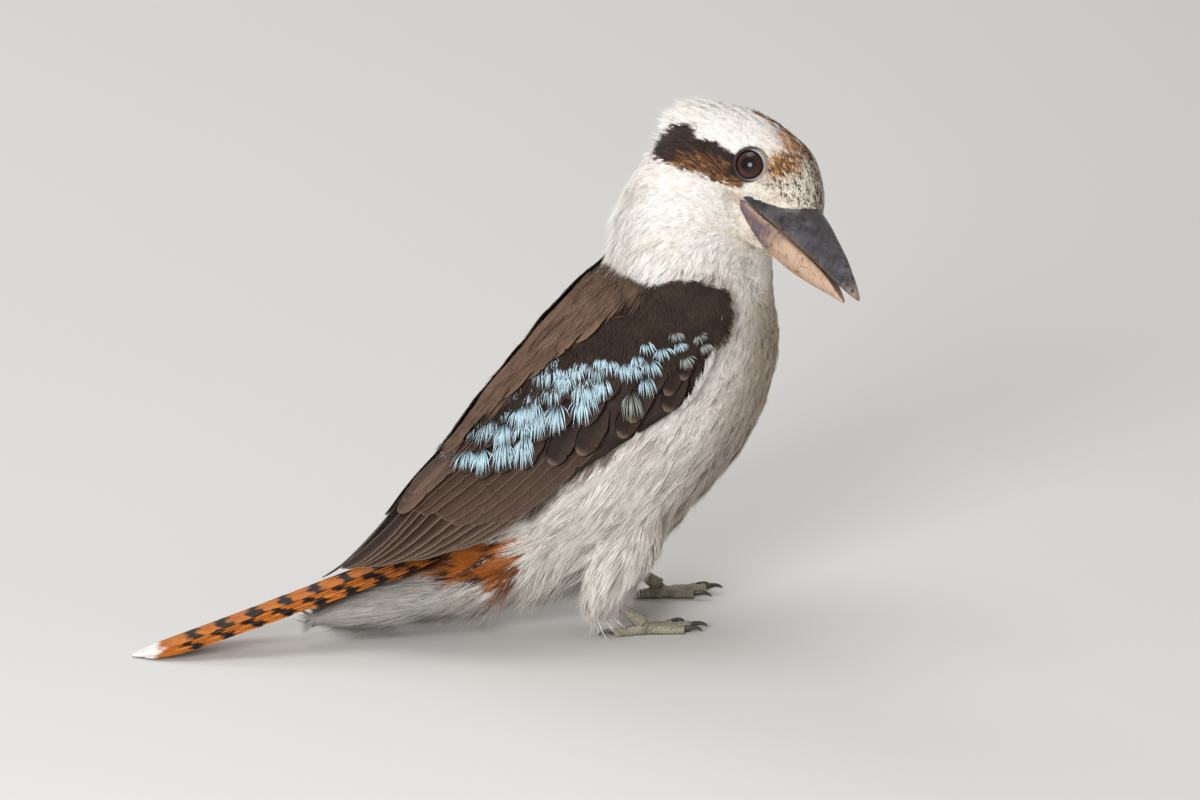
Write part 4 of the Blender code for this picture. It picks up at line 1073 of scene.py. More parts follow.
def barb_object(name, barbs, wide, colours, uv, material):
    """Joined mesh of flat, closed, pointed barbs. Each feather has one spot in the unwrap."""
    uv = np.repeat(uv[:, None], barbs[0].shape[1], 1).reshape(-1, 1, 2) + BARB_PATCH
    root, middle, tip, up = (v.reshape(-1, 3) for v in barbs)
    wide = wide.reshape(-1, 1)
    along = unit(tip - root)
    side = unit(np.cross(up, along))
    up = np.cross(along, side)
    right = middle + side * wide * 0.5 - up * wide * 0.08
    left = middle - side * wide * 0.5 - up * wide * 0.08
    points = np.stack((root, right, middle + up * wide * 0.14, left, tip), 1)
    faces = (np.arange(len(root)) * BARB_POINTS)[:, None, None] + BARB_SHAPE
    maps = (("OFBake", uv.reshape(-1, 2)),)
    obj = array_object(name, points.reshape(-1, 3), faces.reshape(-1, 3), colours.reshape(-1, 3), maps)
    sharpen_barb_rims(obj.data)
    finished(obj, material)


def barb_colours(tone, count, draw, dark=0.8, light=1.04, vary=0.05):
    """Five colours a barb, from one colour a feather or one a barb: painted shade at its root and along its
    rims, and a paler tip.
    """
    value = 1 + draw.normal(0, vary, (len(tone), count, 1))
    each = tone.reshape(len(tone), -1, 3) * value
    # Root, right rim, ridge, left rim and tip: the darker root and rims are painted shade
    steps = np.array((dark, 0.5 * (dark + 1), 1.0, 0.5 * (dark + 1), light))
    return np.clip(each[:, :, None, :] * steps[None, None, :, None], 0, 1)


def in_bill(local):
    """True where a point in the head's frame lies in or on a mandible."""
    inside = np.zeros(len(local), bool)
    x, side = local[:, 0], np.abs(local[:, 1])
    for rows, sign, columns in ((BILL_UPPER, 1, (1, 2, 3)), (BILL_LOWER, -1, (2, 1, 3))):
        table = rows_along(rows, 40)
        ridge, rim, half = (np.interp(x, table[:, 0], table[:, c]) for c in columns)
        high = (ridge - rim) * np.clip(1 - (side / (half + 0.4)) ** 2, 0, 1) ** 0.42
        level = (local[:, 2] - rim) * sign
        near = (side < half + 0.4) & (x > table[0, 0] + 3)
        inside |= near & (level > -1.2) & (level < np.abs(high) + 0.35)
    return inside


# Coat pieces: name, slot, the barbs of each feather, and how far the barbs spread
COAT_PARTS = (
    ("coat_face", "head_feathers", 7, 0.4),
    ("coat_head", "head_feathers", 9, -0.3),
    ("coat_neck_right", "white_feathers", 10, -0.8),
    ("coat_neck_left", "white_feathers", 10, -0.8),
    ("coat_breast", "body_feathers", 11, -0.8),
    ("coat_belly_right", "body_feathers", 11, -0.8),
    ("coat_belly_left", "body_feathers", 11, -0.8),
    ("coat_back", "body_feathers", 9, -0.8),
    ("coat_legs", "white_feathers", 10, -0.8),
    ("coat_undertail", "white_feathers", 11, -0.8),
)
# Their numbers in that order; neck and belly have a right piece and then a left one
FACE, CROWN, NECK, BREAST, BELLY, BACK, THIGHS, SKIRT = 0, 1, 2, 4, 5, 7, 8, 9
# The most triangles of one coat piece
PIECE_LIMIT = 199000


def coat_part(points):
    """Number of the coat piece that each root belongs to."""
    local = in_head(points)
    station, turn = trunk_place(points)
    left = (points[:, 1] > 0) * 1
    part = np.full(len(points), BREAST)
    low = points[:, 2] < 92
    part[low] = (BELLY + left)[low]
    part[(turn < 84) & (station < 7.3)] = BACK
    neck = station > 7.15
    part[neck] = (NECK + left)[neck]
    part[(local[:, 0] > -46) & (local[:, 2] > -31) & (points[:, 2] > 160)] = CROWN
    part[(local[:, 0] > -6) & (local[:, 2] > -29) & (points[:, 2] > 160)] = FACE
    for side in (-1, 1):
        gap = np.hypot(points[:, 0] - ANKLE[0] - leg_step(side) - 6, points[:, 1] - side * 28)
        part[(gap < 17) & (points[:, 2] < 46) & (points[:, 1] * side > 14)] = THIGHS
    part[(points[:, 0] < -80) & (points[:, 2] < 36)] = SKIRT
    return part


def coat_roots(ground, draw):
    """Roots of the coat's feathers, clear of bill, eyes and wings, and the surface's normals there."""
    spacing = bpy.context.scene.kookaburra_sizes.coat_spacing
    roots, normals = ground.scattered(lambda spots: lie_at(spots)[2] * spacing, draw)
    local = in_head(roots)
    keep = ~in_bill(local)
    for side in (-1, 1):
        height, reach = from_eye(local - eye_middle(side), side)
        keep &= ~((reach < EYE_HOLE) & (height > -EYE_HOLE_DEPTH))
    keep[keep] = ~ground.covered(roots[keep], normals[keep])
    return roots[keep], normals[keep]


def build_coat(skin, material):
    sizes = bpy.context.scene.kookaburra_sizes
    draw = np.random.default_rng(sizes.seed)
    ground = Ground(skin)
    roots, normals = coat_roots(ground, draw)
    _, length, width, rise = lie_at(roots)
    length = length * (1 + draw.normal(0, 0.12, len(length)))
    local = in_head(roots)
    nape = smooth_step(-36, -46, local[:, 0]) * smooth_step(-28, -18, local[:, 2])
    rise = rise + NAPE_TUFTS * nape * (draw.random(len(rise)) < 0.25)
    guide, guide_normals = guide_lines(ground, roots, normals, length, rise)
    # the feathers next to the bill lap over its base
    forward = 2 * guide[:, :1] - guide
    lapping = in_bill(in_head(forward[:, 2])) & (draw.random(len(guide)) < 0.8)
    guide[lapping] = forward[lapping]
    draw_together(guide, length, draw)
    keep = ~ground.under_wing(guide[:, 2])
    roots, length, width, rise = roots[keep], length[keep], width[keep], rise[keep]
    guide, guide_normals, local = guide[keep], guide_normals[keep], local[keep]
    tone = coat_colours(along_guide(guide, np.full((len(guide), 1), 0.7))[:, 0], draw)
    # Painted light and shade along the combed locks, brighter where the same field lifts them, plus random
    # tone from feather to feather
    comb = np.where(roots[:, 2] > 175, streaks(local, 4.0, 45), combed(roots, 5.0, 44))
    comb = comb * smooth_step(4, 12, length)
    shade = 1 + 0.08 * comb + draw.normal(0, 0.05, len(tone))
    tone = tone * shade[:, None]
    uv = unwrapped(roots)
    puff = np.clip(1 + 0.5 * waves(roots, 13, 43) * smooth_step(8, 17, length) + 0.7 * comb, 0.15, 2.4)
    lift = (0.3 + 0.055 * length) * puff
    rise = rise * puff
    part = coat_part(roots)
    for number, (name, slot, count, spread) in enumerate(COAT_PARTS):
        pick = np.flatnonzero(part == number)
        count = min(count, PIECE_LIMIT // len(BARB_SHAPE) // len(pick))
        lines = guide[pick], guide_normals[pick], width[pick]
        barbs = barbs_from(*lines, count, lift[pick], rise[pick], draw, spread)
        each = tone[pick][:, None]
        if slot == "head_feathers":
            spots = in_head((barbs[1] + barbs[2]) / 2).reshape(-1, 3)
            each = head_marks(spots, draw).reshape(len(pick), count, 3) * shade[pick][:, None, None]
        colours = barb_colours(each, count, draw, 0.66)
        wide = sizes.barb_width / MM * (0.8 + 0.1 * width[pick])[:, None]
        wide = wide * draw.uniform(0.75, 1.25, (len(pick), count))
        barb_object(name, barbs, wide, colours, uv[pick], material)


# Long feathers


def hull(k, angle, lift, side):
    """Points lift over the folded wing's hull, k stations along and angle degrees off the spine."""
    k, angle = np.broadcast_arrays(np.maximum(k, FIRST_STATION), np.asarray(angle, float))
    row = between(WING_HULL, k + 1)
    x, z, tilt, above, half = (row[..., c] for c in range(5))
    if side > 0:
        z = z - LEFT_DROP * np.maximum(0, (k - 3.2) / 4)
    _, dorsal = tilted(tilt)
    a = np.radians(angle)
    out = dorsal * ((above + lift) * np.cos(a))[..., None]
    out[..., 1] += side * (half + lift) * np.sin(a)
    return np.stack((x, np.zeros_like(x), z), -1) + out


def hull_normal(k, angle, lift, side):
    centre = hull(k, angle, lift, side)
    along = hull(np.asarray(k) + 0.02, angle, lift, side) - centre
    round_it = hull(k, np.asarray(angle) + 1, lift, side) - centre
    return unit(np.cross(round_it, along) * side)


def nearest_angle(angle, side):
    """Keeps the two wings' upper feathers clear of each other along the spine."""
    if side < 0:
        return np.maximum(angle, NEAREST_RIGHT)
    return np.maximum(angle, NEAREST_LEFT + np.asarray(angle) * (1 - NEAREST_LEFT / 45))


def off_spine(side, *rows):
    """Places on the hull, kept clear of the other wing."""
    return [np.stack((row[:, 0], nearest_angle(row[:, 1], side)), 1) for row in rows]


def hull_vane_lines(side, roots, tips, heights, roll, samples):
    """Centre line, side and normal of each wing feather from root to tip."""
    f = 1 - (1 - np.linspace(0, 1, samples)) ** 1.35
    k = roots[:, None, 0] + (tips - roots)[:, None, 0] * f
    angle = roots[:, None, 1] + (tips - roots)[:, None, 1] * f
    lift = np.interp(f, (0, 0.5, 1), heights)[None] + np.zeros_like(k)
    centre = hull(k, angle, lift, side)
    normal = hull_normal(k, angle, lift, side)
    along = unit(np.gradient(centre, axis=1))
    across = unit(np.cross(normal, along))
    turn = -np.radians(roll) * side
    across = across * math.cos(turn) + normal * math.sin(turn)
    return f, centre, across, unit(np.cross(along, across))


# Places across a vane from edge to edge
COLUMNS = np.array((-1.0, -0.9, -0.6, -0.25, -0.07, 0.0, 0.07, 0.25, 0.6, 0.9, 1.0))


def vane_object(name, groups):
    """Joined mesh of closed vanes. Each group has lines, half widths, thickness and colours."""
    parts = []
    start, number = 0, 0
    total = sum(len(g["centre"]) for g in groups)
    tiles = math.ceil(math.sqrt(total * 6))
    tile_rows = math.ceil(total / tiles)
    v = COLUMNS[None, None, :, None]
    for g in groups:
        centre, across, normal = g["centre"], g["across"], g["normal"]
        feathers, samples = centre.shape[:2]
        half = np.where(COLUMNS < 0, g["half"][:, :, :1], g["half"][:, :, 1:])[..., None]
        bow = -g["droop"] * v**2 * half + 0.16 * np.exp(-((v / 0.09) ** 2)) * g["shaft"]
        upper = centre[:, :, None] + across[:, :, None] * v * half + normal[:, :, None] * bow
        thick = g["thick"] * (1 - 0.75 * np.abs(v))
        points = np.stack((upper, upper - normal[:, :, None] * thick), 1)
        layer = samples * len(COLUMNS)
        grid = np.arange(layer).reshape(samples, -1)
        quads = np.stack((grid[:-1, :-1], grid[1:, :-1], grid[1:, 1:], grid[:-1, 1:]), -1).reshape(-1, 4)
        rims = [
            np.stack((line[:-1], line[1:], line[1:] + layer, line[:-1] + layer), -1)
            for line in (grid[:, 0], grid[-1], grid[::-1, -1], grid[0, ::-1])
        ]
        shape = np.concatenate((quads[:, (0, 3, 2, 1)], quads + layer, *rims))
        order = np.arange(feathers)[:, None, None]
        faces = shape + order * 2 * layer + start
        steps = np.linalg.norm(np.diff(centre, axis=1), axis=2)
        run = np.concatenate((np.zeros((feathers, 1)), np.cumsum(steps, axis=1)), axis=1)
        run = np.broadcast_to(run[:, :, None], upper.shape[:3]) / 10 + order * 7.3
        vane = np.stack((run, (v * half)[..., 0] / 10), -1)
        tile_y, tile_x = np.divmod(number + order, tiles)
        bake_u = (tile_x + 0.1 + 0.8 * (v[..., 0] + 1) / 2) / tiles
        bake_v = (tile_y + 0.05 + 0.9 * g["f"][None, :, None]) / tile_rows
        bake = np.stack(np.broadcast_arrays(bake_u, bake_v), -1)
        # both faces of a vane have the same colours and maps
        both = [np.stack((each, each), 1) for each in (g["colours"], bake, vane)]
        parts.append([each.reshape(-1, each.shape[-1]) for each in (points, faces, *both)])
        start += feathers * 2 * layer
        number += feathers
    points, faces, colours, bake, vane = (np.concatenate(pieces) for pieces in zip(*parts))
    return array_object(name, points, faces, colours, (("OFBake", bake), ("Vane", vane)))


def half_widths(f, half, narrow, draw, feathers, ragged=0.03, splits=2, root=0.5):
    """Half widths of the two webs of each feather from root to tip, with a few splits in the edge."""
    body = root + (1 - root) * smooth_step(0, 0.4, f)
    end = np.where(f > narrow, np.sqrt(np.clip(1 - ((f - narrow) / (1.001 - narrow)) ** 2, 0.0, 1)), 1)
    shape = (body * np.maximum(end, 0.06))[None, :, None] * half
    shape = shape * (1 + draw.normal(0, 0.05, (feathers, 1, 2)))
    shape = shape * (1 - np.abs(draw.normal(0, ragged, (feathers, len(f), 2))))
    for _ in range(splits):
        where = draw.uniform(0.35, 0.95, (feathers, 1, 2))
        deep = draw.uniform(0.0, 0.22, (feathers, 1, 2))
        shape = shape * (1 - deep * np.exp(-(((f[None, :, None] - where) / 0.012) ** 2)))
    return shape


def vane_colours(f, feathers, draw, down, base, fringe, edge, tip, shaft, inner=None):
    """Colours over each vane: darker shaft, a pale fringe and uneven brown."""
    v = np.abs(COLUMNS)[None, None, :]
    value = 1 + draw.normal(0, 0.07, (feathers, 1, 1)) + draw.normal(0, 0.04, (feathers, len(f), 1))
    tone = np.asarray(base)[None, None, None, :] * value[..., None]
    tone = np.broadcast_to(tone, (feathers, len(f), len(COLUMNS), 3)).copy()
    if inner is not None:
        tone = mix(tone, inner, np.broadcast_to(smooth_step(0.9, 0.1, f)[None, :, None], tone.shape[:3]))
    tone = tone * (1 - 0.22 * np.exp(-(((v - 0.78) / 0.12) ** 2)))[..., None]
    # painted shadow where the next feather above lies over it, painted light at the open lower edge
    tone = tone * (1 + 0.75 * smooth_step(-0.4, 1.0, COLUMNS * down) - 0.42 * abs(down))[:, None]
    rim = smooth_step(1 - edge, 1.0, v) + smooth_step(1 - tip, 1.0, f)[None, :, None]
    tone = mix(tone, fringe, np.clip(np.broadcast_to(rim, tone.shape[:3]) * 0.9, 0, 1))
    line = np.exp(-((v / 0.06) ** 2)) * shaft
    return mix(tone, np.asarray(base) * 0.4, np.broadcast_to(line, tone.shape[:3]))


def hull_feathers(side, lines, half, narrow, samples, draw, ragged=0.03, shaft_rise=1.0, **look):
    """A group of vanes on the wing's hull; lines are roots, tips, heights and roll."""
    f, centre, across, normal = hull_vane_lines(side, *lines, samples)
    feathers = len(centre)
    return {
        "f": f,
        "centre": centre,
        "across": across,
        "normal": normal,
        "half": half_widths(f, half, narrow, draw, feathers, ragged),
        "droop": 0.06,
        "shaft": shaft_rise,
        "thick": 0.4,
        "colours": vane_colours(f, feathers, draw, -side, **look),
    }


def covert_places(side, rows, reach, drop, draw):
    """Roots and tips of single coverts whose tips are named."""
    tips = np.array([(k, angle) for k, angle, *_ in rows], float)
    tips += draw.normal(0, 1, tips.shape) * (0.02, 0.4)
    if side > 0:
        tips += draw.normal(0, 1, tips.shape) * (0.05, 1.2)
    roots = tips - np.concatenate(np.broadcast_arrays(reach, drop, tips[:, :1])[:2], 1)
    return off_spine(side, roots, tips)


def hull_guides(side, roots, tips, lift):
    """Root, middle and tip on the hull for barbs that lie along a wing feather."""
    places = [roots + (tips - roots) * share for share in (0, 0.5, 1)]
    guide = np.stack([hull(p[:, 0], p[:, 1], lift, side) for p in places], 1)
    normals = np.stack([hull_normal(p[:, 0], p[:, 1], lift, side) for p in places], 1)
    return guide, normals


def bed_rings(side):
    """Rings of the dark bed that fills the space under a wing's feathers: a sheet of painted shade."""
    rings = []
    for k in np.linspace(FIRST_STATION + 0.15, 5.0, 40):
        upper, lower = wing_edges(k)
        upper = float(nearest_angle(upper, side)) + (2 if side < 0 else 8)
        share = np.linspace(0, 1, 16)
        edge = 0.3 + 0.7 * np.sin(math.pi * share) ** 0.5
        deep = -1.0 - 5.5 * min(1.0, max(0.0, 4.4 - k) / 1.6) * smooth_step(-1.5, 0.5, k)
        angles = upper + (lower - upper) * share
        middle, normal = hull(k, angles, 0.0, side), hull_normal(k, angles, 0.0, side)
        top = middle + normal * (0.4 * edge)[:, None]
        low = middle + normal * (deep * edge - 0.5)[:, None]
        rings.append(np.concatenate((top, low[::-1])))
    return rings


def flight_groups(side, draw):
    """Primaries, secondaries and tertials."""
    tone = palette()
    groups = []
    for name, count, half, heights, roll, narrow, root_row, tip_row in FLIGHT:
        outer = name == "primary"
        place = np.linspace(0.02, 1, count) if outer else (np.arange(count) + 0.5) / count
        roots, tips = (between(row, place * (len(row) - 1)) for row in (root_row, tip_row))
        tips = tips + draw.normal(0, 1, tips.shape) * (0.04, 0.3)
        if outer and side > 0:
            tips[:, 0] += LEFT_REACH
        look = {
            "base": tone["quill"] * DARKNESS[name],
            "fringe": tone["fringe"] * (0.8 if outer else 0.5),
            "edge": 0.15 if outer else 0.07,
            "tip": 0.03,
            "shaft": 0.7,
            "inner": tone["brown"] * 0.8,
        }
        lines = (*off_spine(side, roots, tips), heights, roll)
        groups.append(hull_feathers(side, lines, half, narrow, FLIGHT_SAMPLES, draw, ragged=0.012, **look))
    return groups


def covert_groups(side, draw):
    """Single coverts, by the kind of their tips."""
    tone = palette()
    groups = []
    kinds = {"azure": tone["brown"] * 1.5, "buff": tone["fringe"] * 0.5, "olive": tone["mantle"]}
    for kind, fringe in kinds.items():
        rows = [row for row in COVERTS if row[3] == kind]
        lines = (*covert_places(side, rows, 0.72, 7.0, draw), (0.0, 1.9, 1.7), 4)
        half = np.array([row[2] for row in rows])[:, None, None]
        order = np.array([row[0] for row in rows])
        look = {"base": tone["brown"] * 0.8, "fringe": fringe, "edge": 0.0, "tip": 0.14, "shaft": 0.2}
        group = hull_feathers(side, lines, half, 0.6, COVERT_SAMPLES, draw, ragged=0.02, **look)
        raised = 1.5 * smooth_step(4.4, 1.0, order)[:, None, None]
        raised = raised * np.linspace(0.2, 1, COVERT_SAMPLES)[None, :, None]
        group["centre"] = group["centre"] + group["normal"] * raised
        groups.append(group)
    return groups


def scapular_group(side, draw):
    """Shoulder-blade feathers."""
    tone = palette()
    rows = [row for row in SCAPULARS if row[0] > SCAPULAR_FIRST]
    roots, tips = covert_places(side, rows, 1.15, 1.5, draw)
    roots[:, 0] = np.maximum(roots[:, 0], 0.05)
    lines = (roots, tips, (-0.6, 4.2, 3.9) if side < 0 else (-0.6, 2.2, 1.8), 3)
    look = {"base": tone["mantle"] * 0.75, "fringe": tone["mantle"], "edge": 0.0, "tip": 0.05, "shaft": 0.1}
    return hull_feathers(side, lines, SCAPULAR_HALF, 0.62, SCAPULAR_SAMPLES, draw, shaft_rise=0.4, **look)


def build_wing(side, vane, soft):
    draw = np.random.default_rng(bpy.context.scene.kookaburra_sizes.seed + 40 + side)
    word = "left" if side > 0 else "right"
    bm = bmesh.new()
    add_loft(bm, bed_rings(side))
    bed = bmesh_object(f"wing_{word}_bed", bm)
    # Painted shade: the bed takes the coverts' brown, darkened and mottled
    value = 0.75 + 0.2 * waves(points_of(bed.data), 6, 3)[:, None]
    add_colour(bed.data, palette()["brown"][None] * value)
    finished(bed, soft)
    groups = flight_groups(side, draw) + covert_groups(side, draw)
    groups.append(scapular_group(side, draw))
    made = vane_object(f"wing_{word}_feathers", groups)
    finished(made, vane, (f"wing_{word}",))
    build_azure(side, word, soft, draw)
    build_lesser_coverts(side, word, soft, draw)
    build_scapular_barbs(side, word, soft, draw)


def hull_uv(spots, side):
    across = 0.05 + 0.4 * (side > 0) + 0.35 * (spots[:, 0] + 0.6) / 6
    return np.stack((across, 0.02 + 0.9 * (spots[:, 1] + 12) / 110), 1)


def build_azure(side, word, material, draw):
    """Pale blue barb ends that fan out from the coverts' tips, and dull ones by the shoulder."""
    tone = palette()
    rows = [row for row in COVERTS if row[3] in ("azure", "olive")]
    first_layer = len(rows)
    for k, angle, half, kind in COVERTS:
        if kind == "azure" and k > DOUBLE_AZURE:
            k, angle = k - 0.13 + draw.normal(0, 0.05), angle - 2.5 + draw.normal(0, 1.6)
            rows.append((k, angle, half * draw.uniform(0.8, 1.05), kind))
    station, half = (np.array([row[c] for row in rows]) for c in (0, 2))
    scale = (half / WIDEST_COVERT) ** 1.2 * (0.6 + 0.4 * smooth_step(0.5, 1.8, station))
    roots, tips = covert_places(side, rows, (0.34 * scale)[:, None], (12.0 * scale)[:, None], draw)
    level = 2.4 + 1.5 * smooth_step(4.4, 1.0, station)
    level[first_layer:] -= 0.25
    guide, normals = hull_guides(side, roots, tips, level)
    lift = np.full(len(rows), 0.35)
    barbs = barbs_from(guide, normals, half * 1.9, AZURE_BARBS, lift, lift * 1.6, draw, 0.4, 0.13)
    dull = np.array([row[3] == "olive" for row in rows])[:, None]
    near = np.where(dull, tone["olive"] * 0.5, tone["azure_dark"])
    far = np.where(dull, tone["olive"], tone["azure"])
    value = 1 + draw.normal(0, 0.12, (len(rows), AZURE_BARBS, 1)) + draw.normal(0, 0.08, (len(rows), 1, 1))
    # Root, right rim, ridge, left rim and tip: the rims darker than the ridge are painted shade across each
    # barb
    steps = np.array((0.0, 0.5, 0.85, 0.5, 1.1))
    colours = near[:, None, None] + (far - near)[:, None, None] * steps[None, None, :, None]
    colours = np.clip(colours * value[..., None], 0, 1)
    wide = draw.uniform(0.36, 0.52, (len(rows), AZURE_BARBS))
    uv = hull_uv(roots, side)
    barb_object(f"wing_{word}_azure", barbs, wide, colours, uv, material)


def build_lesser_coverts(side, word, material, draw):
    """Small velvety dark feathers between the shoulder-blade feathers and the azure tips."""
    tone = palette()
    spots = []
    stations, uppers, lowers = zip(*LESSER_BAND)
    for k in np.arange(-0.85, 3.2, 0.055):
        upper, lower = np.interp(k, stations, uppers), np.interp(k, stations, lowers)
        for angle in np.arange(upper - 5, lower, 2.0):
            spots.append((k + draw.normal(0, 0.02), angle + draw.normal(0, 0.7)))
    roots = np.array(spots)
    tips = roots + (0.23, 4.5) + draw.normal(0, 1, roots.shape) * (0.02, 1.0)
    roots, tips = off_spine(side, roots, tips)
    guide, normals = hull_guides(side, roots, tips, 1.9 + 0.7 * smooth_step(-0.9, 0.4, roots[:, 0]))
    width = np.full(len(roots), 3.4)
    lift = np.full(len(roots), 0.9)
    barbs = barbs_from(guide, normals, width, LESSER_BARBS, lift, lift * 1.3, draw, 0.6, 0.16)
    warm = np.clip(0.12 + 0.14 * waves(guide[:, 0], 12, 8), 0, 1)
    base = mix(tone["brown"] * 0.45, tone["mantle"] * 0.5, warm)
    # Painted light on the far wing's coverts near the back, which lie turned away from the lights
    if side > 0:
        base = mix(base, tone["mantle"] * 1.3, 0.8 * smooth_step(62, 48, roots[:, 1]))
    colours = barb_colours(base, LESSER_BARBS, draw, 0.5, 1.7, 0.2)
    wide = draw.uniform(0.34, 0.55, (len(roots), LESSER_BARBS))
    uv = hull_uv(roots, side)
    barb_object(f"wing_{word}_lesser_coverts", barbs, wide, colours, uv, material)


def build_scapular_barbs(side, word, material, draw):
    """Long loose barbs over the shoulder-blade feathers."""
    tone = palette()
    tips = np.repeat(np.array(SCAPULARS, float), SCAPULAR_TUFTS, axis=0)
    along = draw.uniform(-0.06, 0.95, (len(tips), 1))
    tips = tips - along * (1.15, 1.5) + draw.normal(0, 1, tips.shape) * (0.05, 3.0) + (0, 1.2)
    tips[:, 0] = np.maximum(tips[:, 0], 0.42)
    roots, tips = off_spine(side, tips - np.array((0.62, 0.5)), tips)
    comb = combed(hull(tips[:, 0], tips[:, 1], 0.0, side), 5.0, 47)
    height = ((4.3 if side < 0 else 2.4) + 0.5 * comb) * smooth_step(-0.2, 0.9, tips[:, 0])
    guide, normals = hull_guides(side, roots, tips, height)
    width = np.full(len(roots), 6.0)
    lift = 0.4 + 0.25 * comb
    barbs = barbs_from(guide, normals, width, SCAPULAR_BARBS, lift, lift * 1.2, draw, 0.0, 0.12)
    brown = np.clip(0.22 - 0.2 * comb + draw.normal(0, 0.14, len(roots)), 0, 0.8)
    base = mix(tone["mantle"], tone["brown"], brown)
    base = base * (0.55 + 0.5 * smooth_step(-0.2, 1.9, tips[:, 0]))[:, None]
    colours = barb_colours(base, SCAPULAR_BARBS, draw, 0.6, 1.3, 0.18)
    wide = draw.uniform(0.3, 0.5, (len(roots), SCAPULAR_BARBS))
    uv = hull_uv(roots, side)
    barb_object(f"wing_{word}_scapular_barbs", barbs, wide, colours, uv, material)


# Tail


def tail_line(f):
    """Spots at share f along the tail's line, and the way up from it."""
    along = unit(TAIL_TIP - TAIL_ROOT)
    up = np.array((along[2], 0, -along[0]))
    f = np.asarray(f, float)[..., None]
    return TAIL_ROOT + (TAIL_TIP - TAIL_ROOT) * f - up * TAIL_SAG * 4 * f * (1 - f), up


def tail_colours(number, place, run, offset):
    """Rufous with black bars and a white end, at run millimetres from the tail's tip."""
    tone = palette()
    v = COLUMNS[None, :]
    run = run[:, None]
    spot = np.stack((run + 0 * v, v * 5 + number * 40 + 0 * run, 0 * run + 0 * v), -1)
    wobble = waves(spot, 7, 15)
    turn = (run - BAR_FIRST - offset - 1.8 * np.abs(v) + 1.6 * wobble) / BAR_STEP
    gap = np.abs(turn - np.round(turn)) * BAR_STEP
    bar = smooth_step(BAR_LENGTH / 2 + 0.7, BAR_LENGTH / 2 - 0.7, gap) * (np.round(turn) >= 0)
    warm = mix(tone["rufous"], tone["rufous_light"], np.clip(0.5 + 0.5 * wobble, 0, 1))
    colours = mix(warm, tone["bar"], bar)
    edge = run + 1.5 * wobble + 2 * (1 - np.abs(v)) - 1.3 * place
    colours = mix(colours, tone["white"] * 0.92, smooth_step(WHITE_TIP + 1.5, WHITE_TIP - 1.5, edge))
    return mix(colours, colours * 0.45, np.exp(-((v / 0.07) ** 2)) * 0.5 + 0 * run)


def build_tail(vane, soft):
    draw = np.random.default_rng(bpy.context.scene.kookaburra_sizes.seed + 70)
    f = 1 - (1 - np.linspace(0.0, 1, TAIL_SAMPLES)) ** 1.1
    reach = np.linalg.norm(TAIL_TIP - TAIL_ROOT)
    groups = []
    for i in range(RECTRICES):
        place = i - (RECTRICES - 1) / 2
        rank = abs(place)
        share = 1 - (rank * RECTRIX_SHORTER + draw.uniform(0, 3.0)) / reach
        centre, up = tail_line(0.02 + (share - 0.02) * f)
        step = RECTRIX_SPREAD[0] + (RECTRIX_SPREAD[1] - RECTRIX_SPREAD[0]) * f
        low = rank * RECTRIX_STEP * (1 - 0.45 * f) + (0.3 if place > 0 else 0)
        centre = centre + np.outer(place * step, (0, 1, 0)) + np.outer(2.2 + 2.2 * (1 - f) - low, up)
        centre[:, 2] = np.maximum(centre[:, 2], 0.35 + 0.12 * (RECTRICES / 2 - rank))
        half = half_widths(f, RECTRIX_HALF, 0.86, draw, 1, 0.02, 5, 0.55)
        # the bars of neighbouring feathers don't quite meet
        offset = 0.0 if rank < 1.5 else (-6.0 if rank < 3.5 else -2.0)
        run = reach * (1 - (0.02 + (share - 0.02) * f))
        groups.append(
            {
                "f": f,
                "centre": centre[None],
                "across": np.broadcast_to((0, 1.0, 0), (1, TAIL_SAMPLES, 3)),
                "normal": np.broadcast_to(up, (1, TAIL_SAMPLES, 3)),
                "half": half,
                "droop": 0.07,
                "shaft": 1.0,
                "thick": 0.42,
                "colours": tail_colours(i, place, run, offset)[None],
            }
        )
    made = vane_object("tail_feathers", groups)
    co = points_of(made.data)
    co[:, 2] = np.maximum(co[:, 2], 0.0)
    move_points(made.data, co)
    finished(made, vane, ("tail",))
    build_tail_coverts(soft, draw)


def build_tail_coverts(material, draw):
    """Rufous, barred feathers that lead from the rump onto the tail."""
    tone = palette()
    start = 0.2 * draw.uniform(0, 1, TAIL_COVERTS) ** 1.4 - 0.02
    place = draw.uniform(-1, 1, TAIL_COVERTS)
    guide = []
    for reach in (0, 0.5, 1):
        centre, up = tail_line(start + reach * 0.09)
        rise = 2.8 - 1.9 * start / 0.18 - 1.6 * place**2 + 0.2 * reach
        guide.append(centre + np.outer(place * (10.5 + 1.5 * reach), (0, 1, 0)) + np.outer(rise, up))
    guide = np.stack(guide, 1)
    normals = np.stack((np.full(TAIL_COVERTS, 0.25), 0.9 * place, np.full(TAIL_COVERTS, 1.0)), 1)
    normals = np.repeat(unit(normals)[:, None], 3, 1)
    lift = np.full(TAIL_COVERTS, 0.4)
    barbs = barbs_from(guide, normals, lift * 10, TAIL_COVERT_BARBS, lift, lift, draw, 0.5, 0.15)
    wave = np.sin((guide[:, 1, 0] + 4 * np.abs(place)) * 2 * math.pi / 13 + 1.2 * waves(guide[:, 1], 9, 4))
    base = mix(tone["rufous"], tone["rufous_light"], draw.random(TAIL_COVERTS))
    base = mix(base, tone["bar"], smooth_step(0.1, 0.5, wave))
    colours = barb_colours(base, TAIL_COVERT_BARBS, draw, 0.75, 1.12, 0.1)
    wide = draw.uniform(0.38, 0.6, (TAIL_COVERTS, TAIL_COVERT_BARBS))
    uv = np.stack((0.5 + 0.2 * place, 0.05 + start), 1)
    barb_object("tail_coverts", barbs, wide, colours, uv, material)


# Bill


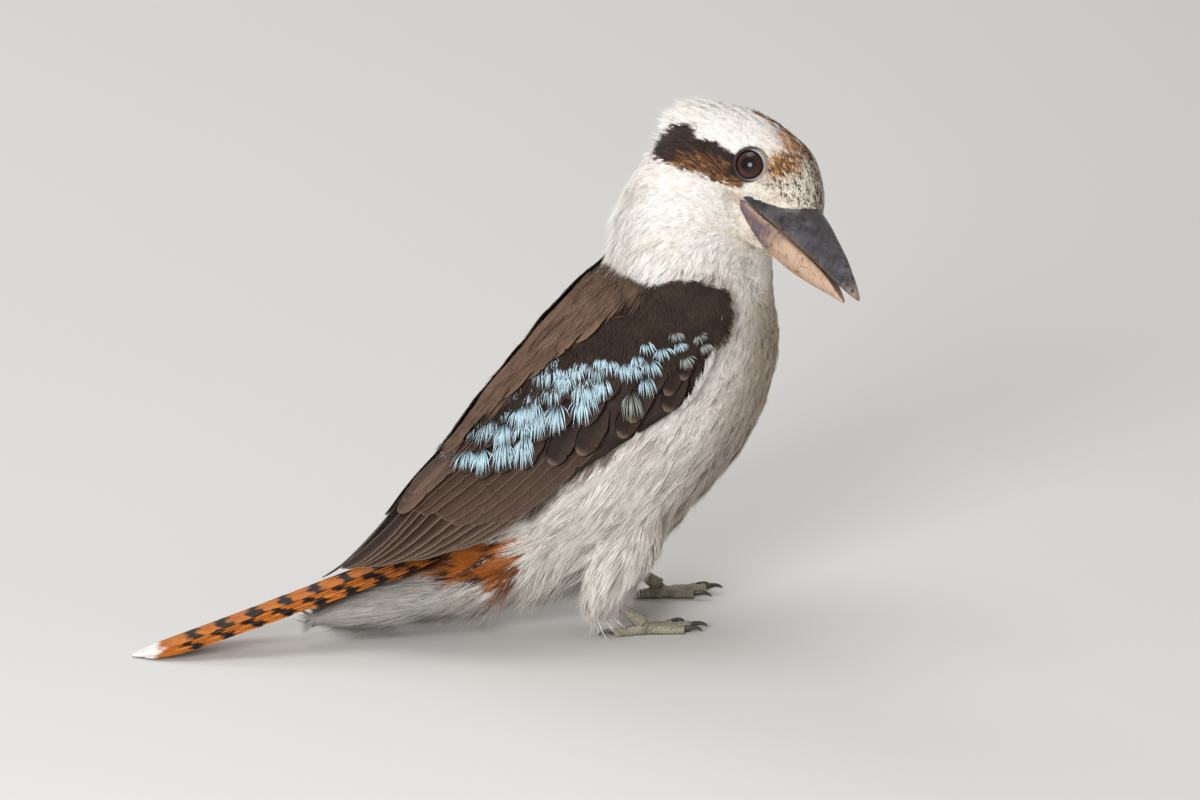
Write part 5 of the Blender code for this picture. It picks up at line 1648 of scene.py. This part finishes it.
def mandible_rings(rows, sign):
    """Rings of a mandible: rounded outside, and hollowed a little where the two meet."""
    rings = []
    a = np.linspace(0, math.pi, 26)[:, None]
    share = np.linspace(-0.92, 0.92, 14)[:, None]
    for x, first, second, half in rows_along(rows, 70):
        ridge, rim = (first, second) if sign > 0 else (second, first)
        high = rim + (ridge - rim) * np.sin(a) ** (0.8 if sign > 0 else 0.85)
        hollow = 0.9 * smooth_step(-5, 12, x) * smooth_step(78, 60, x)
        outer = np.concatenate((x + 0 * a, half * np.cos(a), high), 1)
        inner = np.concatenate((x + 0 * share, half * share, rim + sign * hollow * (1 - share**2)), 1)
        rings.append(on_head(np.concatenate((outer, inner))))
    return rings


def mandible_height(rows, local, rim, ridge):
    """Height of each point over the rim, as a share of the mandible's height there."""
    table = rows_along(rows, 60)
    rim, ridge = (np.interp(local[:, 0], table[:, 0], table[:, c]) for c in (rim, ridge))
    return (local[:, 2] - rim) * np.sign(ridge - rim) / np.maximum(np.abs(ridge - rim), 0.5)


def build_upper_mandible():
    tone = palette()
    bm = bmesh.new()
    add_loft(bm, mandible_rings(BILL_UPPER, 1))
    upper = bmesh_object("bill_upper_horn", bm)
    local = in_head(points_of(upper.data))
    nostril_shade = np.zeros(len(local))
    for side in (-1, 1):
        gap = local - np.array((NOSTRIL_AT[0], side * NOSTRIL_AT[1], NOSTRIL_AT[2]))
        gap = np.stack((gap[:, 0] / 3.2, gap[:, 1] / 3.0, gap[:, 2] - 0.2 * gap[:, 0]), 1)
        slit = np.exp(-(gap**2).sum(1))
        local = local - slit[:, None] * np.array((0, side * 1.1, 0.5))
        nostril_shade = np.maximum(nostril_shade, slit)
    move_points(upper.data, on_head(local))
    x = local[:, 0]
    high = mandible_height(BILL_UPPER, local, 2, 1)
    patch, fine = waves(local, 11, 51), waves(local, 3, 52)
    # Painted sheen: paler blue-grey patches standing in for the bill's reflections, more of them towards the
    # tip
    sheen_patches = np.clip(0.3 + 0.5 * patch + 0.3 * fine + 0.25 * smooth_step(24, 40, x), 0, 1)
    colour = mix(tone["bill_dark"], tone["bill_sheen"], sheen_patches)
    # Painted highlight along the top of the culmen towards the tip
    colour = mix(colour, tone["bill_sheen"] * 1.5, smooth_step(0.75, 1.0, high) * smooth_step(30, 50, x) * 0.5)
    colour = mix(colour, tone["horn"] * 0.6, smooth_step(66, 76, x + 2 * fine) * 0.7)
    colour = mix(colour, tone["horn"] * 0.35, smooth_step(0.12, 0.02, high) * smooth_step(8, 20, x) * 0.7)
    brown = smooth_step(0.2, 0.8, high + 0.3 * fine) * smooth_step(66, 42, x)
    colour = mix(colour, tone["bill_brown"], brown * np.clip(0.6 + 0.6 * patch, 0, 1))
    colour = mix(colour, tone["mouth"], (high < -0.001) * 1.0)
    # Painted shade in the nostrils
    colour = mix(colour, tone["bill_dark"] * 0.3, np.clip(nostril_shade * 1.4, 0, 1))
    add_colour(upper.data, colour)
    finished(upper, horn_material("bill_upper_horn", 0.25, 0.515), ("bill_upper",))


def build_lower_mandible():
    tone = palette()
    bm = bmesh.new()
    add_loft(bm, mandible_rings(BILL_LOWER, -1))
    lower = bmesh_object("bill_lower_horn", bm)
    local = in_head(points_of(lower.data))
    x = local[:, 0]
    low = mandible_height(BILL_LOWER, local, 1, 2)
    patch, fine = waves(local, 9, 61), waves(local, 2.6, 62)
    pale = smooth_step(20, 33, x + 3 * patch + 3 * fine + 5 * (low - 0.5))
    pale = np.maximum(pale, smooth_step(0.2, 0.1, low) * smooth_step(4, 9, x))
    colour = mix(tone["mauve"] * (1 + 0.25 * fine)[:, None], tone["horn"], pale)
    warm = np.clip(0.4 * smooth_step(0.5, 1, low) + 0.3 * patch, 0, 1)
    colour = mix(colour, tone["horn_warm"], warm * pale)
    colour = mix(colour, tone["horn_stain_and_shadow"], smooth_step(0.3, 0.9, fine + 0.5 * patch) * 0.6)
    # Painted shadow of the upper mandible along the lower mandible's upper edge, in a darker stain colour
    rim = smooth_step(0.16, 0.04, low) * smooth_step(20, 34, x)
    colour = mix(colour, tone["horn_stain_and_shadow"] * 0.6, rim * 0.6)
    colour = mix(colour, tone["mouth"], (low < -0.001) * 1.0)
    add_colour(lower.data, colour)
    horn = horn_material("bill_lower_horn", 0.36, 0.56, (0.17, 0.09, 0.05))
    finished(lower, horn, ("bill_lower",))


def horn_material(name, roughness, clean, stain=(0.035, 0.020, 0.014)):
    """Worn horn with dried flecks."""
    material, tree, shader = new_material(name)
    place = own_place(tree)
    flecks = {"Vector": place, "Scale": 420.0, "Detail": 5.0, "Roughness": 0.65}
    flecks = add_node(tree, "TexNoise", "Fac", flecks)
    limit = {"Value": flecks, "From Min": clean, "From Max": clean + 0.06}
    region = {"Value": add_node(tree, "TexNoise", "Fac", {"Vector": place, "Scale": 70.0})}
    region.update({"From Min": 0.42, "From Max": 0.54})
    limit, region = (add_node(tree, "MapRange", "Result", inputs) for inputs in (limit, region))
    flecked = add_node(tree, "Math", "Value", {0: limit, 1: region}, operation="MULTIPLY")
    colour = {"Factor": flecked, "A": own_colour(tree), "B": (*stain, 1)}
    rough = {"Value": flecked, "To Min": roughness, "To Max": 0.75}
    finish = {
        "Base Color": add_node(tree, "Mix", "Result", colour, data_type="RGBA"),
        "Roughness": add_node(tree, "MapRange", "Result", rough),
        "Normal": add_node(tree, "Bump", "Normal", {"Height": flecked, "Strength": 0.45, "Distance": 0.0003}),
    }
    set_inputs(tree, shader, finish)
    return material


# Eyes


def build_eye(side, material):
    """An eyeball with a dark pupil, a rayed iris, and a dark rim round the iris that is painted shadow of the
    lids.
    """
    word = "left" if side > 0 else "right"
    bm = bmesh.new()
    bmesh.ops.create_uvsphere(bm, u_segments=64, v_segments=56, radius=EYE_RADIUS)
    place = Matrix.Translation(Vector(eye_centre(side)))
    head = Matrix.Translation(Vector(HEAD_AT)) @ Matrix(HEAD_TURN.tolist()).to_4x4()
    bmesh.ops.transform(bm, matrix=head @ place @ eye_turn(side).to_4x4(), verts=bm.verts)
    eye = bmesh_object(f"eyeball_{word}", bm)
    tone = palette()
    local = in_head(points_of(eye.data)) - eye_centre(side)
    height, reach = from_eye(local, side)
    turn_round = np.arctan2(local[:, 2], local[:, 0])
    rays = 0.5 + 0.5 * np.sin(turn_round * 34 + 3 * np.sin(turn_round * 7))
    iris = mix(tone["iris"] * 0.5, tone["iris"], smooth_step(2.6, 4.9, reach))
    # The rays are the iris's own pattern; the brightening towards its lower side is painted light
    iris = iris * (0.85 + 0.3 * rays)[:, None] * (1.15 - 0.06 * local[:, 2])[:, None]
    colour = mix(iris, (0.003, 0.002, 0.002), smooth_step(3.2, 2.8, reach))
    # Painted shadow of the lids: dark everywhere outside the iris
    colour = mix(colour, (0.004, 0.003, 0.003), smooth_step(5.6, 6.0, reach))
    colour = mix(colour, (0.006, 0.005, 0.005), (height < 0) * 1.0)
    add_colour(eye.data, colour)
    finished(eye, material, (f"eye_{word}",))


# Sections round the eye that the lids are made from, and the section: distance from the eye's axis
# and height over its opening
LID_SECTIONS = 72
LID_SECTION = (
    (6.1, -0.85),
    (6.16, -0.3),
    (6.3, 0.05),
    (6.5, 0.2),
    (6.7, 0.08),
    (6.85, -0.02),
    (7.05, 0.06),
    (7.4, -0.3),
    (8.0, -1.2),
    (8.4, -2.6),
    (7.4, -3.6),
    (6.4, -3.2),
    (6.05, -1.8),
)


def build_lids(side, material):
    """A thin fleshy ring round the eye, with a pale upper lid and a darker corner behind."""
    word = "left" if side > 0 else "right"
    tone = palette()
    axis, middle, turn = eye_axis(side), eye_middle(side), np.array(eye_turn(side))
    rings = []
    for a in np.linspace(0, 2 * math.pi, LID_SECTIONS, endpoint=False):
        out = turn @ np.array((math.cos(a), math.sin(a), 0))
        fold = 1 + 0.012 * math.sin(a * 22) + 0.01 * math.sin(a * 37 + 1)
        squeeze = 1 - 0.03 * out[2] ** 2 + 0.03 * abs(out[0]) ** 6
        ring = [middle + out * r * squeeze * (fold if r > 6.4 else 1) + axis * h for r, h in LID_SECTION]
        rings.append(on_head(ring))
    bm = bmesh.new()
    loops = add_rings(bm, rings)
    for near, far in zip(loops, loops[1:] + loops[:1]):
        bridge(bm, near, far)
    lids = bmesh_object(f"lids_{word}", bm)
    local = in_head(points_of(lids.data)) - middle
    _, reach = from_eye(local, side)
    turn_round = np.degrees(np.arctan2(local[:, 2], local[:, 0]))
    top = smooth_step(55, 25, np.abs(turn_round - 88))
    colour = mix(tone["lid"], tone["lid_pale"], top)
    colour = mix(colour, tone["lid_pale"] * 0.6, smooth_step(40, 15, np.abs(turn_round + 35)))
    colour = mix(colour, tone["lid_dark"], smooth_step(75, 45, np.abs(np.abs(turn_round) - 175)))
    ahead = smooth_step(-60, -20, turn_round) * smooth_step(120, 80, turn_round)
    outer = mix(tone["lid_dark"] * 2, tone["cream"] * 0.42, ahead)
    colour = mix(colour, outer, smooth_step(6.75, 6.95, reach))
    # Painted shade along the lid's inner edge, where it folds onto the eye
    colour = mix(colour, tone["lid_dark"] * 0.4, smooth_step(6.45, 6.25, reach))
    add_colour(lids.data, colour)
    finished(lids, material)


def eye_material():
    material, tree, shader = new_material("eye_wet")
    finish = {
        "Base Color": own_colour(tree),
        "Roughness": 0.3,
        "Specular IOR Level": 0.1,
        "Coat Weight": 0.8,
        "Coat Roughness": 0.03,
        "Coat IOR": 1.34,
    }
    set_inputs(tree, shader, finish)
    return material


# Legs and feet


def scale_material():
    """Scaly skin: small cells with darker seams."""
    material, tree, shader = new_material("leg_scales")
    cells = {"Vector": own_place(tree), "Scale": 780.0}
    cells = add_node(tree, "TexVoronoi", "Distance", cells, feature="DISTANCE_TO_EDGE")
    seams = {"Value": cells, "From Max": 0.16, "To Min": 0.55, "To Max": 1.0}
    seams = add_node(tree, "MapRange", "Result", seams)
    finish = {
        "Base Color": shaded(tree, own_colour(tree), seams),
        "Normal": add_node(tree, "Bump", "Normal", {"Height": seams, "Strength": 0.5, "Distance": 0.0002}),
        "Roughness": 0.55,
    }
    set_inputs(tree, shader, finish)
    return material


def smoothed_copy(name, node, voxel, passes):
    """A finer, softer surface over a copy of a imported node."""
    bm = bmesh.new()
    bm.from_mesh(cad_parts[node].data)
    bmesh.ops.remove_doubles(bm, verts=bm.verts, dist=1e-6)
    return remeshed(mesh_object(name, bm), voxel, passes)


def build_legs():
    tone = palette()
    scales = scale_material()
    claws = horn_material("claw_horn", 0.38, 0.6)
    for word in ("right", "left"):
        for node in (f"shank_{word}", f"foot_{word}"):
            made = smoothed_copy(f"{node}_skin", node, *LEG_GRID)
            co = points_of(made.data)
            co[:, 2] = np.maximum(co[:, 2], 0.0)
            # the scales' cross ridges
            ridge = np.sin(co[:, 0] * 2 * math.pi / RIDGE_STEP)
            co[:, 2] += ridge * smooth_step(1.2, 3.0, co[:, 2]) * RIDGE_HEIGHT
            move_points(made.data, co)
            colour = mix(tone["leg"], tone["leg_dark_and_shade"], np.clip(0.35 + 0.4 * waves(co, 8, 71), 0, 1))
            # Painted shade where the feet meet the floor
            add_colour(made.data, mix(colour, tone["leg_dark_and_shade"] * 0.7, smooth_step(1.0, 0.2, co[:, 2])))
            made.data.shade_smooth()
            finished(made, scales, (node,))
        for toe in ("inner", "middle", "outer", "hind"):
            node = f"claw_{word}_{toe}"
            made = smoothed_copy(f"{node}_horn", node, *CLAW_GRID)
            value = 1 + 0.25 * waves(points_of(made.data), 3, 5)[:, None]
            add_colour(made.data, tone["claw"][None] * value)
            made.data.shade_smooth()
            finished(made, claws, (node,))


# Stage

# Soft lights: name, place from the bird's middle in metres, size, and share of the key light's power
LIGHTS = (
    ("key", (-0.95, -1.35, 0.65), 0.8, 1.0),
    ("top", (-0.35, 0.3, 1.8), 1.2, 0.45),
    ("fill", (1.5, -0.6, 0.7), 1.3, 0.05),
    ("rim", (-0.3, 1.5, 1.1), 0.9, 0.3),
)
# Height of the point that the lights look at
LIGHTS_HEIGHT = 110
# Colour of the sky's light, size of the floor in metres, width of the camera's sensor in millimetres
SKY_COLOUR = (1.0, 0.985, 0.965, 1)
FLOOR_SIZE = 6.0
SENSOR_WIDTH = 36.0
# The photo's middle in the camera's plane, right and up, and the width that it spans
FRAME_MIDDLE = (-27.4, 93.9)
FRAME_WIDTH = 525.6


def build_floor(colour):
    bm = bmesh.new()
    bmesh.ops.create_grid(bm, x_segments=1, y_segments=1, size=FLOOR_SIZE)
    floor = mesh_object("floor", bm)
    material, tree, shader = new_material("floor_pale")
    noise = add_node(tree, "TexNoise", "Fac", {"Vector": own_place(tree), "Scale": 1.5})
    tint = {"Factor": noise, "A": (*colour, 1), "B": (*[c * 0.95 for c in colour], 1)}
    tint = add_node(tree, "Mix", "Result", tint, data_type="RGBA")
    set_inputs(tree, shader, {"Base Color": tint, "Roughness": 0.8})
    floor.data.materials.append(material)


def build_lights(key_power, sky_strength):
    bpy.context.scene.view_settings.view_transform = "Standard"
    world = bpy.data.worlds.new("studio")
    bpy.context.scene.world = world
    world.use_nodes = True
    sky = world.node_tree.nodes["Background"]
    set_inputs(world.node_tree, sky, {"Color": SKY_COLOUR, "Strength": sky_strength})
    target = Vector((SHIFT + np.array((0, 0, LIGHTS_HEIGHT))) * MM)
    for name, offset, size, share in LIGHTS:
        light = bpy.data.lights.new(name, "AREA")
        light.shape = "DISK"
        light.size = size
        light.energy = key_power * share
        obj = linked(name, light)
        obj.location = target + Vector(offset)
        obj.rotation_euler = Vector(offset).to_track_quat("Z", "Y").to_euler()


def build_camera(azimuth, elevation, distance):
    azimuth, elevation = math.radians(azimuth), math.radians(elevation)
    level = math.cos(elevation)
    right = np.array((math.cos(azimuth), math.sin(azimuth), 0))
    back = np.array((math.sin(azimuth) * level, -math.cos(azimuth) * level, math.sin(elevation)))
    up = np.cross(back, right)
    middle = (SHIFT + right * FRAME_MIDDLE[0] + up * FRAME_MIDDLE[1]) * MM
    camera = bpy.data.cameras.new("camera")
    camera.sensor_width = SENSOR_WIDTH
    camera.lens = SENSOR_WIDTH * distance / (FRAME_WIDTH * MM)
    camera.clip_end = 60.0
    obj = linked("camera", camera)
    matrix = Matrix(np.stack((right, up, back), 1).tolist()).to_4x4()
    matrix.translation = Vector(middle + back * distance)
    obj.matrix_world = matrix
    bpy.context.scene.camera = obj


# Base colours in linear light, and what each one is for
COLOUR_DEFAULTS = {
    "white": ((0.88, 0.855, 0.82), "Neck and crown feathers"),
    "cream": ((0.80, 0.70, 0.55), "Forehead and lores"),
    "breast": ((0.80, 0.755, 0.70), "Breast and belly"),
    "grey": ((0.44, 0.40, 0.37), "Greyish feathers low on the body"),
    "buff": ((0.58, 0.43, 0.28), "Warm wash on the pale feathers"),
    "streak": ((0.30, 0.20, 0.12), "Brownish streaks by the shoulder"),
    "dark": ((0.020, 0.012, 0.010), "Eye stripe and forehead specks"),
    "rufous_brown": ((0.15, 0.060, 0.022), "Rusty streaks on the head"),
    "orange": ((0.46, 0.21, 0.065), "Patch in front of the eye"),
    "brown": ((0.044, 0.026, 0.019), "Wing coverts"),
    "mantle": ((0.180, 0.110, 0.072), "Mantle and shoulder-blade feathers"),
    "quill": ((0.074, 0.044, 0.031), "Flight feathers"),
    "fringe": ((0.32, 0.23, 0.165), "Pale edges of the wing feathers"),
    "azure": ((0.50, 0.67, 0.75), "Tips of the blue barbs"),
    "azure_dark": ((0.14, 0.25, 0.31), "Roots of the blue barbs"),
    "olive": ((0.30, 0.33, 0.30), "Dull tips by the shoulder"),
    "rufous": ((0.40, 0.110, 0.015), "Tail and rump"),
    "rufous_light": ((0.52, 0.165, 0.022), "Paler rufous of the tail"),
    "bar": ((0.016, 0.010, 0.009), "Bars of the tail and rump"),
    "bill_dark": ((0.016, 0.016, 0.020), "Upper mandible"),
    # The upper mandible's paler blue-grey below is painted sheen, a reflection painted into its colour
    "bill_sheen": ((0.085, 0.082, 0.098), "Worn parts of the upper mandible"),
    "bill_brown": ((0.040, 0.027, 0.022), "Brownish sides of the upper mandible"),
    "horn": ((0.50, 0.35, 0.25), "Lower mandible"),
    "horn_warm": ((0.42, 0.24, 0.14), "Warm keel of the lower mandible"),
    # The lower mandible's stain colour also paints the upper mandible's shadow along its upper edge
    "horn_stain_and_shadow": ((0.30, 0.16, 0.09), "Stains on the lower mandible"),
    "mauve": ((0.12, 0.085, 0.10), "Base of the lower mandible"),
    "mouth": ((0.12, 0.038, 0.018), "Inside of the mouth"),
    "iris": ((0.038, 0.0125, 0.0085), "Iris"),
    "lid": ((0.085, 0.068, 0.075), "Lower lid"),
    "lid_pale": ((0.36, 0.36, 0.41), "Upper lid"),
    "lid_dark": ((0.022, 0.016, 0.016), "Skin behind the eye"),
    "leg": ((0.36, 0.33, 0.24), "Legs"),
    "leg_dark_and_shade": ((0.17, 0.15, 0.10), "Shaded scales of the legs"),
    "claw": ((0.05, 0.042, 0.036), "Claws"),
}


def colour_property(label, text, value):
    return FloatVectorProperty(
        name=label, description=text, default=value, size=3, min=0, max=1, subtype="COLOR"
    )


class KookaburraColours(bpy.types.PropertyGroup):
    """Base colours of the plumage, bill, eyes and legs."""


KookaburraColours.__annotations__ = {
    name: colour_property(name.replace("_", " ").capitalize(), text, value)
    for name, (value, text) in COLOUR_DEFAULTS.items()
}


class KookaburraSizes(bpy.types.PropertyGroup):
    """Sizes of the coat."""

    coat_depth: FloatProperty(
        name="Coat depth",
        description="How far the skin lies under the coat",
        default=0.0016,
        min=0,
        unit="LENGTH",
    )
    coat_spacing: FloatProperty(
        name="Spacing", description="Distance between small feathers, in widths of one", default=0.57, min=0.2
    )
    barb_width: FloatProperty(
        name="Barb width", description="Width of a barb", default=0.00034, min=0, unit="LENGTH"
    )
    seed: IntProperty(name="Seed", description="Seed of every random draw", default=7)


class KookaburraStage(bpy.types.PropertyGroup):
    """Camera, light and floor."""

    camera_azimuth: FloatProperty(
        name="Azimuth", description="Camera turn round the bird in degrees", default=-15.0
    )
    camera_elevation: FloatProperty(
        name="Elevation", description="Camera height in degrees", default=17.0
    )
    camera_distance: FloatProperty(
        name="Distance", description="Camera distance", default=12.0, unit="LENGTH"
    )
    key_power: FloatProperty(
        name="Key light", description="Power of the main soft light in watts", default=25.0
    )
    sky_strength: FloatProperty(name="Surround", description="Strength of the even light", default=0.46)
    floor_colour: colour_property("Floor", "Colour of the floor", (0.64, 0.63, 0.61))


class KOOKABURRA_OT_skin_and_coat(bpy.types.Operator):
    """Make the skin over the body and cover it with small feathers."""

    bl_idname = "kookaburra.skin_and_coat"
    bl_label = "Skin and coat"

    def execute(self, context):
        soft = feather_material("soft_feathers")
        build_coat(build_skin(soft), soft)
        return {"FINISHED"}


class KOOKABURRA_OT_wings(bpy.types.Operator):
    """Make both folded wings, feather by feather."""

    bl_idname = "kookaburra.wings"
    bl_label = "Wings"

    def execute(self, context):
        vane = vane_material("wing_vanes")
        soft = feather_material("wing_barbs", 0.72, 0.0)
        for side in (-1, 1):
            build_wing(side, vane, soft)
        return {"FINISHED"}


class KOOKABURRA_OT_tail(bpy.types.Operator):
    """Make the tail feathers and their coverts."""

    bl_idname = "kookaburra.tail"
    bl_label = "Tail"

    def execute(self, context):
        build_tail(vane_material("tail_vanes", 0.55, 0.18), feather_material("tail_barbs", 0.72, 0.0))
        return {"FINISHED"}


class KOOKABURRA_OT_bill(bpy.types.Operator):
    """Make the two mandibles."""

    bl_idname = "kookaburra.bill"
    bl_label = "Bill"

    def execute(self, context):
        build_upper_mandible()
        build_lower_mandible()
        return {"FINISHED"}


class KOOKABURRA_OT_eyes(bpy.types.Operator):
    """Make both eyes with their lids."""

    bl_idname = "kookaburra.eyes"
    bl_label = "Eyes"

    def execute(self, context):
        wet = eye_material()
        fleshy = feather_material("lid_skin", 0.5, 0.0, 900.0, 0.3)
        for side in (-1, 1):
            build_eye(side, wet)
            build_lids(side, fleshy)
        return {"FINISHED"}


class KOOKABURRA_OT_legs(bpy.types.Operator):
    """Make the scaled legs, toes and claws."""

    bl_idname = "kookaburra.legs"
    bl_label = "Legs"

    def execute(self, context):
        build_legs()
        return {"FINISHED"}


class KOOKABURRA_OT_stage(bpy.types.Operator):
    """Set up the floor, lights and camera."""

    bl_idname = "kookaburra.stage"
    bl_label = "Stage"

    def execute(self, context):
        stage = context.scene.kookaburra_stage
        build_floor(stage.floor_colour)
        build_lights(stage.key_power, stage.sky_strength)
        build_camera(stage.camera_azimuth, stage.camera_elevation, stage.camera_distance)
        return {"FINISHED"}


OPERATORS = (
    KOOKABURRA_OT_skin_and_coat,
    KOOKABURRA_OT_wings,
    KOOKABURRA_OT_tail,
    KOOKABURRA_OT_bill,
    KOOKABURRA_OT_eyes,
    KOOKABURRA_OT_legs,
    KOOKABURRA_OT_stage,
)


class KOOKABURRA_PT_panel(bpy.types.Panel):
    """Lists the pieces in the sidebar."""

    bl_idname = "KOOKABURRA_PT_panel"
    bl_label = "Kookaburra"
    bl_space_type = "VIEW_3D"
    bl_region_type = "UI"
    bl_category = "Kookaburra"

    def draw(self, context):
        for group in ("kookaburra_sizes", "kookaburra_stage"):
            settings = getattr(context.scene, group)
            for key in settings.__annotations__:
                self.layout.prop(settings, key)
        for operator in OPERATORS:
            self.layout.operator(operator.bl_idname)


GROUPS = (
    ("kookaburra_colours", KookaburraColours),
    ("kookaburra_sizes", KookaburraSizes),
    ("kookaburra_stage", KookaburraStage),
)


def register():
    for name, group in GROUPS:
        bpy.utils.register_class(group)
        setattr(bpy.types.Scene, name, PointerProperty(type=group))
    for kind in (*OPERATORS, KOOKABURRA_PT_panel):
        bpy.utils.register_class(kind)


def unregister():
    for kind in (KOOKABURRA_PT_panel, *reversed(OPERATORS)):
        bpy.utils.unregister_class(kind)
    for name, group in reversed(GROUPS):
        delattr(bpy.types.Scene, name)
        bpy.utils.unregister_class(group)


def main():
    register()
    for operator in OPERATORS:
        part, action = operator.bl_idname.split(".")
        getattr(getattr(bpy.ops, part), action)()


if __name__ == "__main__":
    main()
